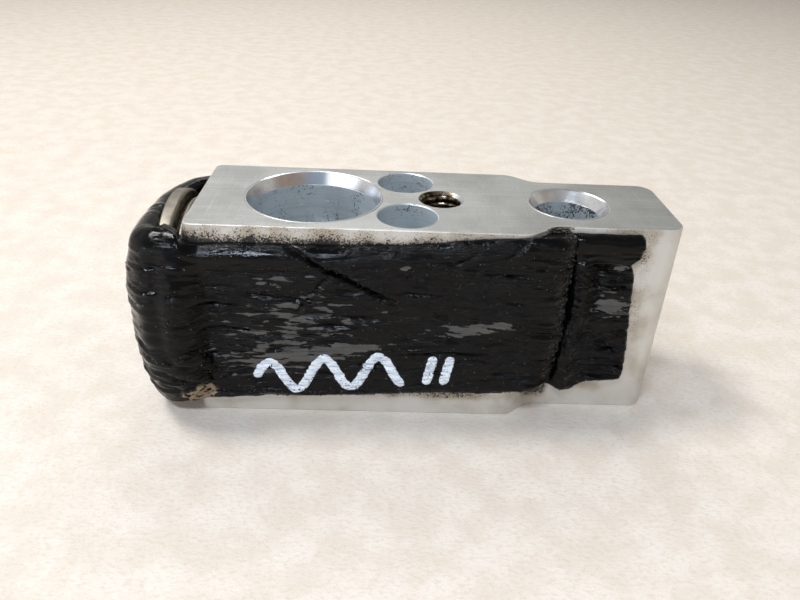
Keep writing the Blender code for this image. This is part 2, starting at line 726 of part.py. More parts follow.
def make_valve_spring():
    """The coil spring from the holder's flange to the screw's pocket, with its end turns closed up."""
    start = HOLDER_BACK + FIT + SPRING_WIRE / 2
    length = SPRING_END - FIT - SPRING_WIRE / 2 - start
    end_rise = SPRING_END_TURNS * SPRING_WIRE * 1.12
    middle_turns = max(1.0, (length - 2 * end_rise) / SPRING_PITCH)
    turns = middle_turns + 2 * SPRING_END_TURNS
    curve = bpy.data.curves.new("valve_spring", "CURVE")
    curve.dimensions = "3D"
    curve.bevel_depth = SPRING_WIRE / 2 * MM
    curve.bevel_resolution = 1
    curve.use_fill_caps = True
    count = round(turns * 18)
    spline = curve.splines.new("POLY")
    spline.points.add(count)
    for i, point in enumerate(spline.points):
        turn = turns * i / count
        from_end = min(turn, turns - turn, SPRING_END_TURNS) / SPRING_END_TURNS
        rise = end_rise * from_end
        if turn > turns / 2:
            rise = length - rise
        if SPRING_END_TURNS < turn < turns - SPRING_END_TURNS:
            share = (turn - SPRING_END_TURNS) / middle_turns
            rise = end_rise + (length - 2 * end_rise) * share
        angle = 2 * math.pi * turn
        place = (start + rise, SPRING_RADIUS * math.cos(angle), SPRING_RADIUS * math.sin(angle))
        point.co = (*(Vector(place) * MM), 1)
    curve.materials.append(finish("spring_steel"))
    spring = bpy.data.objects.new("valve_spring", curve)
    spring.location = Vector((-BLOCK_LENGTH / 2, 0, STEM_HEIGHT)) * MM
    bpy.context.scene.collection.objects.link(spring)


def make_adjusting_screw():
    """The plug that sets the spring's load, with a seal groove, a short thread and a hexagon socket."""
    groove_end = SCREW_GROOVE_X + SCREW_GROOVE_WIDTH
    profile = [
        (SCREW_START + SCREW_POCKET_DEPTH, 0),
        (SCREW_START + SCREW_POCKET_DEPTH, SCREW_POCKET_RADIUS),
        (SCREW_START, SCREW_POCKET_RADIUS),
        (SCREW_START, SCREW_SEAL_RADIUS - 0.3),
        (SCREW_START + 0.3, SCREW_SEAL_RADIUS),
        (SCREW_GROOVE_X, SCREW_SEAL_RADIUS),
        (SCREW_GROOVE_X, SCREW_GROOVE_RADIUS),
        (groove_end, SCREW_GROOVE_RADIUS),
        (groove_end, SCREW_SEAL_RADIUS),
        (SCREW_THREAD_START, SCREW_SEAL_RADIUS),
        (SCREW_THREAD_START, SCREW_RADIUS),
        (SCREW_FACE - 0.3, SCREW_RADIUS),
        (SCREW_FACE, SCREW_RADIUS - 0.3),
        (SCREW_FACE, 0),
    ]
    screw = on_stem("adjusting_screw", profile, "brass")
    corner = HEX_ACROSS_FLATS / math.sqrt(3)
    key = [(SCREW_FACE - HEX_DEPTH, 0), (SCREW_FACE - HEX_DEPTH, corner)]
    key += [(SCREW_FACE + CUT_PAST, corner), (SCREW_FACE + CUT_PAST, 0)]
    cut(screw, on_stem("hex_cutter", key, None, segments=6))


def wrap_outline():
    """The tape round the head and along both sides as far as the shoulder, seen from above."""
    side_in = BLOCK_WIDTH / 2 + TAPE_GAP
    narrow_in = NARROW_WIDTH / 2 + TAPE_GAP
    head_in = RIM_RADIUS + TAPE_GAP
    flare_end = BASE_FACE - TAPE_PAST_BASE
    flare_start = flare_end + head_in - side_in
    inner = [
        (TAPE_END, -narrow_in, 0),
        (SHOULDER_END, -narrow_in, SHOULDER_BLEND_RADIUS),
        (SHOULDER_START, -side_in, SHOULDER_BLEND_RADIUS / 2),
        (flare_start, -side_in, 0),
        (flare_end, -head_in, 0),
        (CAP_TOP - TAPE_GAP, -head_in, 0),
        (TAPE_INNER_END, -CLAMP_RADIUS, 0),
    ]
    outer = [(TAPE_END, -narrow_in - TAPE_THICKNESS, 0)]
    outer += [(SHOULDER_END + 0.4, -narrow_in - TAPE_THICKNESS, SHOULDER_BLEND_RADIUS / 2)]
    outer += [(SHOULDER_START + 0.4, -side_in - TAPE_THICKNESS, SHOULDER_BLEND_RADIUS)]
    outer += [(flare_start + 0.5, -side_in - TAPE_THICKNESS, TAPE_CORNER_RADIUS)]
    outer += [(flare_end + 0.5, -head_in - TAPE_THICKNESS, 1.0)]
    outer += [(TAPE_INNER_END - TAPE_THICKNESS, -head_in - TAPE_THICKNESS, TAPE_CORNER_RADIUS)]
    inner_back = [(x, -y, radius) for x, y, radius in reversed(inner)]
    outer_back = [(x, -y, radius) for x, y, radius in reversed(outer)]
    corners = outer + outer_back + list(reversed(inner_back)) + list(reversed(inner))
    return [(x - BLOCK_LENGTH / 2, y) for x, y in rounded(corners)]


def make_tapes():
    wrap = prism(wrap_outline(), TAPE_LOW_EDGE, TAPE_TOP_EDGE)
    add_object("tape_wrap", wrap, "butyl_tape")
    start = TAPE_END + TAPE_SEAM_GAP - BLOCK_LENGTH / 2
    inner = NARROW_WIDTH / 2 + TAPE_GAP
    outer = inner + TAPE_THICKNESS
    for name, side in (("tape_tail_front", -1), ("tape_tail_back", 1)):
        corners = [
            (start, side * inner, 0),
            (start, side * outer, 0.5),
            (start + TAIL_TAPE_LENGTH, side * outer, 0.9),
            (start + TAIL_TAPE_LENGTH, side * inner, 0),
        ]
        patch = prism(rounded(corners, 4), TAIL_TAPE_LOW_EDGE, BLOCK_HEIGHT - TAIL_TAPE_TOP_MARGIN)
        add_object(name, patch, "butyl_tape")


def main():
    clear_scene()
    make_block()
    make_head_base()
    make_head_cap()
    make_diaphragm()
    make_charge_plug()
    make_seals()
    make_seal_retainer()
    make_thrust_pad()
    make_sensing_rod()
    make_push_pin()
    make_ball()
    make_ball_holder()
    make_damper()
    make_valve_spring()
    make_adjusting_screw()
    make_tapes()


main()
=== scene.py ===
"""A block-type expansion valve in black insulation tape, built as an add-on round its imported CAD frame.

Places are in metres, in the frame of the CAD model: the block lies on z = 0, its head points to -X and
its front faces -Y. Tape outlines are worked out in millimetres, with stations that count from the
block's head end, because that is how the strip was cut and pressed on.
"""

import json
import math

import bmesh
import bpy
import numpy as np
from mathutils import Matrix, Vector


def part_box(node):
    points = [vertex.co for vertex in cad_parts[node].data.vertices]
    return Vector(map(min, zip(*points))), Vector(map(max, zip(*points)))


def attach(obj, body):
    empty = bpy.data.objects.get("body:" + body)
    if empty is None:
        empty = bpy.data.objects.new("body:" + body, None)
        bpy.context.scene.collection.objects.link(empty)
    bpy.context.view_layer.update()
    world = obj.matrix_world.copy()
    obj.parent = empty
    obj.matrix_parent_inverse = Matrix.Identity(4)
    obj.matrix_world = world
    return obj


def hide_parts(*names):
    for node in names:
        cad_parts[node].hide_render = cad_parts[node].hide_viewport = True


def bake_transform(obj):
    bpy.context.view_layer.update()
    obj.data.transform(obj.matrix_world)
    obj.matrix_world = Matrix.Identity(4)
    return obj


bl_info = {
    "name": "Expansion valve",
    "version": (1, 0, 0),
    "blender": (4, 5, 0),
    "location": "3D view > Sidebar > Valve",
    "description": "Builds the visible parts of a taped block-type expansion valve",
    "category": "Add Mesh",
}

MM = 0.001

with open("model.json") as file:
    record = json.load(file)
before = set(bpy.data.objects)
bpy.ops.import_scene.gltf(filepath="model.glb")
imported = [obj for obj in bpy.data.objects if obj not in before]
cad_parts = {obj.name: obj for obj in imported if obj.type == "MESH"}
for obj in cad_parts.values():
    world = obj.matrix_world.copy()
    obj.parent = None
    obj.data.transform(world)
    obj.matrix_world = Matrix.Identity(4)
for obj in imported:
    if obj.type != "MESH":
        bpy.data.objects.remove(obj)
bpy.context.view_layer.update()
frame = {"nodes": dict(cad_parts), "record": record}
BLOCK_LOW, BLOCK_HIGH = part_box("valve_block")
CAP_LOW, CAP_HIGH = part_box("head_cap")
BASE_LOW, BASE_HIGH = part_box("head_base")
SCREW_LOW, SCREW_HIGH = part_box("adjusting_screw")
ROD_LOW, ROD_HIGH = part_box("sensing_rod")
TAIL_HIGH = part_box("tape_tail_front")[1]

BLOCK_HEIGHT = BLOCK_HIGH.z
STEM_HEIGHT = (CAP_LOW.z + CAP_HIGH.z) / 2
HEAD_END = BLOCK_LOW.x  # station 0
SIDE = BLOCK_HIGH.y / MM  # half the block's wide width, in millimetres
STEM_AXIS = (0, 0, STEM_HEIGHT)
SHEET = 0.7 * MM  # of the head's shells
PAST = 1 * MM  # how far a cutter stands out of the face that it cuts


def opening_axis(name):
    """The middle of a port's opening in plan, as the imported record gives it."""
    openings = frame["record"]["physics"]["openings"]
    low, high = next(item["box_m"] for item in openings if item["name"] == name)
    return (low[0] + high[0]) / 2, (low[1] + high[1]) / 2


SUCTION_X = opening_axis("suction_port_top")[0]
INLET_X = opening_axis("liquid_inlet")[0]
OUTLET_X = opening_axis("liquid_outlet")[0]
BOLT_X, BOLT_Y = opening_axis("back_bolt_counterbore")


# Settings


def linear(code):
    """A hex colour in sRGB, as linear red, green, blue and alpha."""
    channels = [int(code[i : i + 2], 16) / 255 for i in (1, 3, 5)]
    return (*[c / 12.92 if c <= 0.04045 else ((c + 0.055) / 1.055) ** 2.4 for c in channels], 1.0)


def length(name, description, default):
    return bpy.props.FloatProperty(
        name=name, description=description, default=default, min=0.0, unit="LENGTH", precision=5
    )


def colour(name, description, code):
    return bpy.props.FloatVectorProperty(
        name=name, description=description, default=linear(code), size=4, min=0, max=1, subtype="COLOR"
    )


class BlockSettings(bpy.types.PropertyGroup):
    edge: length("Edge break", "Radius of the deburred edges round the two cut faces", 0.18 * MM)
    narrow_width: length("Narrow width", "Width of the tail half of the bar", 17.7 * MM)
    shoulder_length: length("Shoulder", "Length over which the bar narrows", 3.7 * MM)
    shoulder_place: length("Shoulder to inlet", "From the shoulder's end to the inlet's axis", 3.7 * MM)
    shoulder_blend: length("Shoulder blend", "Radius of the shoulder's curves", 3.0 * MM)
    head_corner: length("Head corner", "Radius of the corners at the head end", 1.2 * MM)
    tail_corner: length("Tail corner", "Radius of the corners at the tail end", 2.5 * MM)
    suction_radius: length("Suction bore", "Radius of the suction port", 9.3 * MM)
    suction_mouth: length("Suction cone", "Radial width of the suction port's lead-in cone", 0.62 * MM)
    suction_cone: length("Suction cone depth", "Depth of the suction port's lead-in cone", 1.9 * MM)
    suction_pilot: length("Suction pilot", "Depth of the suction port's full bore", 11.0 * MM)
    suction_passage: length("Suction passage", "Radius of the passage between the two bores", 7.5 * MM)
    inlet_radius: length("Inlet bore", "Radius of the liquid inlet", 4.8 * MM)
    inlet_pilot: length("Inlet pilot", "Depth of the liquid inlet's full bore", 8.5 * MM)
    outlet_radius: length("Outlet bore", "Radius of the liquid outlet", 5.2 * MM)
    outlet_pilot: length("Outlet pilot", "Depth of the liquid outlet's full bore", 9.0 * MM)
    liquid_mouth: length("Liquid cone", "Radial width of the liquid ports' cones", 0.95 * MM)
    liquid_cone: length("Liquid cone depth", "Depth of the liquid ports' cones", 1.6 * MM)
    liquid_passage: length("Liquid passage", "Radius of the drilled liquid passages", 3.4 * MM)
    bolt_hole: length("Bolt hole", "Radius of the bolt holes", 2.75 * MM)
    bolt_head: length("Bolt head", "Radius of the bolt heads' counterbores", 4.3 * MM)
    bolt_depth: length("Bolt head depth", "Depth of the counterbores", 8.0 * MM)
    stud_to_bolts: length("Tapped hole place", "From the bolts to the tapped hole, along the bar", 5.2 * MM)
    stud_radius: length("Tapped hole", "Radius of the tapped hole at the thread's root", 2.95 * MM)
    stud_mouth: length("Tapped mouth", "Radius of the tapped hole's countersink", 3.4 * MM)
    stud_depth: length("Tapped depth", "Depth of the tapped hole", 9.5 * MM)
    thread_pitch: length("Thread pitch", "Pitch of the M6 thread", 1.0 * MM)
    neck_bore: length("Head socket", "Radius of the socket for the head's neck", 8.0 * MM)
    screw_bore: length("Screw bore", "Radius of the adjusting screw's bore", 6.0 * MM)
    chamber: length("Chamber", "Radius of the ball's chamber", 5.5 * MM)


class HeadSettings(bpy.types.PropertyGroup):
    dome_rise: length("Dome", "How far the dome stands over the clamped rim", 2.8 * MM)
    clamp_land: length("Clamp land", "Width of the flat that clamps the diaphragm", 2.9 * MM)
    lip_width: length("Lip", "How far the rolled lip reaches in under the flange", 0.9 * MM)
    bead: length("Bead", "How far the base's bead stands out of the groove", 0.7 * MM)
    neck_radius: length("Neck", "Radius of the threaded neck", 7.8 * MM)


class TapeSettings(bpy.types.PropertyGroup):
    thickness: length("Thickness", "Thickness of the butyl strip", 1.35 * MM)
    grid: length("Grid", "Distance between the strip's points across its width", 0.2 * MM)
    wrinkles: bpy.props.FloatProperty(
        name="Wrinkles", description="Height of the creases and wrinkles, as a share", default=1.0, min=0.0
    )
    film: colour("Film", "The strip's black film", "#060606")
    smear: colour("Smear", "Where the film is scuffed and shows the butyl through", "#565553")
    torn: colour("Torn", "Torn paper backing at the head's lower corner", "#97866f")


class PaintSettings(bpy.types.PropertyGroup):
    width: length("Stroke width", "Width of the paint marker's stroke", 1.45 * MM)
    film: length("Film", "Thickness of the paint", 0.05 * MM)
    paint: colour("Paint", "White marker paint", "#e8f1fa")


class MetalSettings(bpy.types.PropertyGroup):
    sawn: colour("Cut faces", "Milled ends of the bar", "#bdbfbf")
    extruded: colour("Sides", "Extruded sides of the bar", "#d6d4ce")
    bored: colour("Bores", "Bored walls", "#cfd5d8")
    stainless: colour("Stainless", "Pressed sheet of the head", "#8a847a")


class StageSettings(bpy.types.PropertyGroup):
    floor: colour("Floor", "Pale floor", "#e6ddd2")
    camera_place: bpy.props.FloatVectorProperty(
        name="Camera",
        description="Where the camera stands",
        default=(-0.00874, -0.09853, 0.07003),
        unit="LENGTH",
    )
    lens: bpy.props.FloatProperty(name="Lens", description="Focal length", default=31.63, unit="CAMERA")


# Node trees


def add_node(tree, kind, inputs=None, **settings):
    """A node with its settings, its input values and its links."""
    node = tree.nodes.new(kind)
    for name, value in settings.items():
        setattr(node, name, value)
    for key, value in (inputs or {}).items():
        socket = node.inputs[key]
        if isinstance(value, bpy.types.NodeSocket):
            tree.links.new(value, socket)
        else:
            socket.default_value = value
    return node


def new_material(name, **uniform):
    """A Principled material, its tree, its shader and its Object coordinates."""
    material = bpy.data.materials.new(name)
    material.use_nodes = True
    tree = material.node_tree
    shader = tree.nodes["Principled BSDF"]
    for socket, value in uniform.items():
        shader.inputs[socket.replace("_", " ")].default_value = value
    place = add_node(tree, "ShaderNodeTexCoord").outputs["Object"]
    return material, tree, shader, place


def pattern(tree, place, size, detail=2.0, roughness=0.5, distortion=0.0):
    """A noise with grains of that size in millimetres, the same for all directions or one for each axis."""
    scale = [1 / (value * MM) for value in (size if isinstance(size, tuple) else (size,) * 3)]
    at = add_node(tree, "ShaderNodeMapping", {"Vector": place, "Scale": scale}).outputs[0]
    inputs = {"Vector": at, "Scale": 1.0, "Detail": detail, "Roughness": roughness, "Distortion": distortion}
    return add_node(tree, "ShaderNodeTexNoise", inputs).outputs["Fac"]


def zone(tree, *steps):
    """How far a point is inside a zone: the product of shares and of smooth steps.

    A step is a value with its low and high ends, and may add what it gives at each of them, if not 0 and 1.
    """
    product = None
    for step in steps:
        if isinstance(step, bpy.types.NodeSocket):
            share = step
        else:
            value, low, high, start, end = (*step, 0.0, 1.0) if len(step) == 3 else step
            inputs = {"Value": value, "From Min": low, "From Max": high, "To Min": start, "To Max": end}
            share = add_node(tree, "ShaderNodeMapRange", inputs, interpolation_type="SMOOTHSTEP").outputs[0]
        if product:
            share = add_node(tree, "ShaderNodeMath", {0: product, 1: share}, operation="MULTIPLY").outputs[0]
        product = share
    return product


def tinted(tree, tone, *layers):
    """The tone with layers over it, each a colour and the steps of the zone that it covers."""
    for colour, *steps in layers:
        if isinstance(colour, str):
            colour = linear(colour)
        inputs = {"Factor": zone(tree, *steps), 6: tone, 7: colour}
        tone = add_node(tree, "ShaderNodeMix", inputs, data_type="RGBA").outputs[2]
    return tone


def speckle(tree, place, size, floor):
    """Small irregular specks of that size in millimetres, gathered in patches 14 times as large."""
    grain = pattern(tree, place, size, 2.0, 0.6)
    patch = pattern(tree, place, size * 14, 3.0)
    total = add_node(tree, "ShaderNodeMath", {0: patch, 1: 0.45, 2: grain}, operation="MULTIPLY_ADD")
    return zone(tree, (total.outputs[0], floor, floor + 0.05))


def join(tree, shader, dents, **sockets):
    """Links a finish's values to the shader, and its dents, each a pattern with its depth in millimetres."""
    for name, value in sockets.items():
        tree.links.new(value, shader.inputs[name.replace("_", " ")])
    normal = {}
    for height, depth in dents:
        inputs = {"Height": height, "Distance": depth * MM, "Strength": 1.0, **normal}
        normal = {"Normal": add_node(tree, "ShaderNodeBump", inputs).outputs[0]}
    for bumped in normal.values():
        tree.links.new(bumped, shader.inputs["Normal"])


# Finishes


def milled_aluminium(metal):
    """Aluminium bar cut and face-milled: satin, with faint straight tool marks and grey stains."""
    material, tree, shader, place = new_material("milled_aluminium", Metallic=1.0, Roughness=0.4)
    marks = pattern(tree, place, (14, 0.30, 1), 3.0, 0.6)
    cross = pattern(tree, place, (0.22, 9, 1), 2.0, 0.6)
    cloud = pattern(tree, place, 7, 4.0)
    grain = pattern(tree, place, 0.16)
    tone = tinted(
        tree,
        metal.sawn,
        ("#a8aaa9", (cloud, 0.3, 0.7)),
        ("#dfe1e1", (marks, 0.50, 0.75, 0.0, 0.45)),
        ("#dcdedf", (cross, 0.52, 0.75, 0.0, 0.30)),
        ("#8b8d8d", (grain, 0.45, 0.75, 0.0, 0.30)),
        ("#2b2924", speckle(tree, place, 0.17, 0.985)),
    )
    rough = zone(tree, (grain, 0.2, 0.8, 0.34, 0.54))
    join(tree, shader, [(marks, 0.016), (cross, 0.008), (grain, 0.012)], Base_Color=tone, Roughness=rough)
    return material


def extruded_aluminium(metal, tape_low, tape_high):
    """The bar's extruded skin: lines along the press direction, warm stains and tar specks by the tape."""
    material, tree, shader, place = new_material("extruded_aluminium", Roughness=0.42)
    lines = pattern(tree, place, (0.22, 0.22, 14), 3.0, 0.6)
    cloud = pattern(tree, place, 5, 4.0)
    grain = pattern(tree, place, 0.20, 3.0, 0.65)
    split = add_node(tree, "ShaderNodeSeparateXYZ", {0: place})
    station, height = split.outputs["X"], split.outputs["Z"]
    # Tar lies in a band over the tape and one under it, and both thin out towards the tail
    to_shoulder = (station, OUTLET_X - 3 * MM, OUTLET_X + 3 * MM, 1.0, 0.45)
    to_tape_end = (station, TAIL_HIGH.x - MM, TAIL_HIGH.x + 2 * MM, 1.0, 0.0)
    band = (height, tape_high - 1.9 * MM, BLOCK_HEIGHT - 0.1 * MM, 0.60, 0.20)
    over = zone(tree, band, (height, tape_high - 4 * MM, tape_high - 3 * MM), to_shoulder, to_tape_end)
    band = (height, tape_low - 1.2 * MM, tape_low + 0.4 * MM, 0.0, 0.30)
    under = zone(tree, band, (height, 14 * MM, 18 * MM, 1.0, 0.0), to_shoulder, to_tape_end)
    # It also lies past the tape's end, and under the shoulder where the strip is torn
    past = (station, TAIL_HIGH.x - 0.5 * MM, TAIL_HIGH.x + 3.0 * MM, 0.20, 0.0)
    end = zone(tree, past, (height, 6 * MM, 16 * MM))
    foot = zone(
        tree,
        (station, OUTLET_X + 4.5 * MM, OUTLET_X + 7 * MM, 0.0, 0.44),
        (station, OUTLET_X + 9 * MM, OUTLET_X + 11 * MM, 1.0, 0.0),
        (height, 0.5 * MM, 3 * MM),
    )
    near = over
    for spot in (under, end, foot):
        near = add_node(tree, "ShaderNodeMath", {0: near, 1: spot}, operation="MAXIMUM").outputs[0]
    patchy = add_node(tree, "ShaderNodeMath", {0: cloud, 1: 1.4, 2: 0.3}, operation="MULTIPLY_ADD").outputs[0]
    tarred = add_node(tree, "ShaderNodeMath", {0: near, 1: patchy, 2: grain}, operation="MULTIPLY_ADD")
    tar = zone(tree, (tarred.outputs[0], 0.80, 0.86))
    stained = add_node(tree, "ShaderNodeMath", {0: cloud, 1: near}, operation="ADD").outputs[0]
    tone = tinted(
        tree,
        metal.extruded,
        ("#cbc7be", (cloud, 0.35, 0.7)),
        ("#eeeeec", (lines, 0.6, 0.8, 0.0, 0.3)),
        ("#a3937b", (stained, 0.56, 0.86, 0.0, 0.60)),
        ("#1d1b18", tar),
    )
    rough = zone(tree, (cloud, 0.3, 0.7, 0.38, 0.55))
    bare = zone(tree, (tar, 0.0, 1.0, 0.5, 0.0))
    join(tree, shader, [(lines, 0.012), (grain, 0.02)], Base_Color=tone, Roughness=rough, Metallic=bare)
    return material


def bored_aluminium(metal):
    """Bored walls: bluish satin with fine feed rings, and black specks washed in by the refrigerant."""
    material, tree, shader, place = new_material("bored_aluminium", Metallic=0.6, Roughness=0.4)
    rings = pattern(tree, place, (30, 30, 0.24), 2.0, 0.6)
    cloud = pattern(tree, place, 3, 4.0)
    grain = pattern(tree, place, 0.30, 4.0, 0.65)
    patch = pattern(tree, place, 2.6, 3.0)
    station = add_node(tree, "ShaderNodeSeparateXYZ", {0: place}).outputs["X"]
    fouled = zone(tree, (station, OUTLET_X, INLET_X - 5 * MM, 0.0, 0.13))
    dirty = add_node(tree, "ShaderNodeMath", {0: grain, 1: fouled}, operation="ADD").outputs[0]
    gritty = add_node(tree, "ShaderNodeMath", {0: patch, 1: 0.5, 2: dirty}, operation="MULTIPLY_ADD")
    tone = tinted(
        tree,
        metal.bored,
        ("#cbd4d8", (cloud, 0.35, 0.7)),
        ("#a2adb4", (rings, 0.50, 0.68, 0.0, 0.4)),
        ("#262b29", (gritty.outputs[0], 0.86, 0.97)),
    )
    rough = zone(tree, (cloud, 0.3, 0.7, 0.26, 0.42))
    join(tree, shader, [(rings, 0.03)], Base_Color=tone, Roughness=rough)
    return material


def burnished_aluminium():
    """Lead-in cones cut with a sharp form tool: nearly mirror bright, with hair-fine turning rings."""
    material, tree, shader, place = new_material("burnished_aluminium", Metallic=1.0, Roughness=0.12)
    rings = pattern(tree, place, (40, 40, 0.09))
    haze = pattern(tree, place, 2.5, 3.0)
    tone = tinted(tree, linear("#e6e8ec"), ("#d3d6dd", (haze, 0.3, 0.7)))
    rough = zone(tree, (haze, 0.3, 0.75, 0.09, 0.20))
    join(tree, shader, [(rings, 0.012)], Base_Color=tone, Roughness=rough)
    return material


def tapped_aluminium():
    """The tapped hole: bright crests over roots that hold dark brown cutting oil."""
    material, tree, shader, place = new_material("tapped_aluminium", Metallic=1.0, Roughness=0.3)
    oil = pattern(tree, place, 0.8, 3.0)
    tone = tinted(tree, linear("#988e7e"), ("#3d301f", (oil, 0.35, 0.6)))
    join(tree, shader, [], Base_Color=tone, Roughness=zone(tree, (oil, 0.3, 0.7, 0.2, 0.4)))
    return material


def pressed_stainless(metal, groove_low, groove_high):
    """Drawn stainless sheet: smooth and slightly beige, with rust-brown grime in the groove."""
    material, tree, shader, place = new_material("pressed_stainless", Metallic=1.0, Roughness=0.48)
    station = add_node(tree, "ShaderNodeSeparateXYZ", {0: place}).outputs["X"]
    streak = pattern(tree, place, (0.25, 5, 5), 3.0)
    patch = pattern(tree, place, 1.6, 4.0, 0.6)
    in_groove = zone(
        tree,
        (station, groove_low - 0.25 * MM, groove_low + 0.1 * MM),
        (station, groove_high - 0.1 * MM, groove_high + 0.5 * MM, 1.0, 0.0),
    )
    grimy = add_node(tree, "ShaderNodeMath", {0: in_groove, 1: 0.4, 2: patch}, operation="MULTIPLY_ADD")
    tone = tinted(
        tree,
        metal.stainless,
        ("#6f685d", (patch, 0.35, 0.75, 0.0, 0.6)),
        ("#4d3a28", (grimy.outputs[0], 0.72, 0.95)),
    )
    rough = zone(tree, (patch, 0.3, 0.8, 0.42, 0.58))
    join(tree, shader, [(streak, 0.006)], Base_Color=tone, Roughness=rough)
    return material


def butyl_tape(tape):
    """Black film over soft butyl: glossy on its stretched wrinkles, scuffed grey, dusted with white lint."""
    material, tree, shader, place = new_material("butyl_film", Specular_IOR_Level=0.17, Roughness=0.3)
    streak = pattern(tree, place, (3.5, 3.5, 0.20), 4.0, 0.6, 0.3)
    grain = pattern(tree, place, 0.12)
    blotch = pattern(tree, place, (4, 4, 1.2), 4.0, 0.6)
    flecks = pattern(tree, place, (2.8, 2.8, 0.66), 3.0, 0.5, 0.2)
    smear, torn, rolled = [
        add_node(tree, "ShaderNodeAttribute", attribute_name=name).outputs["Fac"]
        for name in ("smear", "torn", "rolled")
    ]
    broken = add_node(tree, "ShaderNodeMath", {0: smear, 1: 0.36, 2: flecks}, operation="MULTIPLY_ADD")
    scuffed = zone(tree, (broken.outputs[0], 0.80, 0.84))
    frayed = add_node(tree, "ShaderNodeMath", {0: grain, 1: 0.6, 2: torn}, operation="MULTIPLY_ADD")
    ragged = zone(tree, (frayed.outputs[0], 0.75, 0.9))
    tone = tinted(
        tree,
        tape.film,
        ("#0e0d0d", (blotch, 0.35, 0.75)),
        (tape.smear, scuffed),
        (tape.torn, ragged),
        ("#9a9a96", (speckle(tree, place, 0.13, 1.03), 0.0, 1.0, 0.0, 0.7)),
    )
    film = zone(tree, (blotch, 0.3, 0.75, 0.13, 0.30))
    worn = add_node(tree, "ShaderNodeMath", {0: scuffed, 1: 0.12, 2: film}, operation="MULTIPLY_ADD")
    paper = add_node(tree, "ShaderNodeMath", {0: ragged, 1: 0.9}, operation="MULTIPLY")
    matt = add_node(tree, "ShaderNodeMath", {0: worn.outputs[0], 1: paper.outputs[0]}, operation="MAXIMUM")
    rough = zone(tree, matt.outputs[0], (rolled, 0.1, 0.8, 1.0, 0.22))
    ribs = zone(tree, streak, (blotch, 0.42, 0.62, 0.10, 0.8), (rolled, 0.0, 0.7, 1.0, 0.15))
    join(tree, shader, [(ribs, 0.36), (grain, 0.008)], Base_Color=tone, Roughness=rough)
    return material


def marker_paint(paint):
    """Opaque paint marker on film: chalky bluish white that misses the bottoms of the wrinkles."""
    material, tree, shader, place = new_material("marker_paint", Roughness=0.5)
    ridge = pattern(tree, place, (2.2, 2.2, 0.30), 3.0, 0.6)
    miss = speckle(tree, place, 0.30, 0.87)
    ridged_white = ("#93a6bc", (ridge, 0.45, 0.7))
    tone = tinted(tree, paint.paint, ridged_white, ("#2c3037", (miss, 0.0, 1.0, 0.0, 0.85)))
    join(tree, shader, [(ridge, 0.05)], Base_Color=tone)
    return material


def plain_finish(name, code, other, grain_size, depth, metallic, rough):
    """A finish for a small piece, with two close tones and a fine grain, both in millimetres."""
    material, tree, shader, place = new_material(name, Metallic=metallic, Roughness=rough)
    grain = pattern(tree, place, grain_size, 3.0, 0.6)
    tone = tinted(tree, linear(code), (other, (grain, 0.3, 0.7)))
    spread_out = zone(tree, (grain, 0.3, 0.7, rough * 0.8, rough * 1.25))
    join(tree, shader, [(grain, depth)], Base_Color=tone, Roughness=spread_out)
    return material


# Meshes


def placed(name, data):
    """An object in the scene, at its origin."""
    item = bpy.data.objects.new(name, data)
    bpy.context.scene.collection.objects.link(item)
    return item


def frozen(item):
    """The mesh that an object has with its modifiers applied."""
    return bpy.data.meshes.new_from_object(item.evaluated_get(bpy.context.evaluated_depsgraph_get()))


def finished(name, mesh, body, *materials, cad=(), slot=None):
    """A shown piece from a mesh, riding on its body and standing for its CAD nodes."""
    mesh.name = name
    item = placed(name, mesh)
    for material in materials:
        mesh.materials.append(material)
    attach(item, body)
    if cad:
        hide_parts(*cad)
    return item


def smooth(mesh, angle=30):
    mesh.shade_smooth()
    mesh.set_sharp_from_angle(angle=math.radians(angle))
    return mesh


def rounded(corners, steps=12):
    """A closed outline from (x, y, fillet radius) corners, each fillet an arc."""
    points = []
    for i, (x, y, radius) in enumerate(corners):
        here = Vector((x, y))
        before = (Vector(corners[i - 1][:2]) - here).normalized()
        after = (Vector(corners[(i + 1) % len(corners)][:2]) - here).normalized()
        half = before.angle(after) / 2
        centre = here + (before + after).normalized() * radius / math.sin(half)
        first = here + before * radius / math.tan(half) - centre
        turn = first.angle_signed(here + after * radius / math.tan(half) - centre)
        for step in range(steps + 1):
            spoke = Matrix.Rotation(-turn * step / steps, 2) @ first
            points.append(centre + spoke)
    return points


def inset(outline, distance):
    """The outline moved inwards, point by point, along its mitres."""
    moved = []
    for i, here in enumerate(outline):
        before, after = outline[i - 1], outline[(i + 1) % len(outline)]
        first, second = (here - before).normalized(), (after - here).normalized()
        mitre = (Vector((-first.y, first.x)) + Vector((-second.y, second.x))).normalized()
        moved.append(here + mitre * distance / max(0.3, mitre.dot(Vector((-first.y, first.x)))))
    return moved


def bar(outline, low, high, edge, steps=10):
    """A prism with rounded edges round its two ends, as a bmesh."""
    bm = bmesh.new()
    rings = []
    for i in range(steps + 1):
        angle = math.radians(90 * i / steps)
        rings.append((low + edge * (1 - math.sin(angle)), edge * (1 - math.cos(angle))))
    levels = [(z, gap) for z, gap in reversed(rings)]
    levels += [(high + low - z, gap) for z, gap in rings]
    loops = [[bm.verts.new((*point, z)) for point in inset(outline, gap)] for z, gap in levels]
    for lower, upper in zip(loops, loops[1:]):
        for i in range(len(outline)):
            j = (i + 1) % len(outline)
            bm.faces.new((lower[i], lower[j], upper[j], upper[i]))
    bm.faces.new(loops[0][::-1])
    bm.faces.new(loops[-1])
    return bm


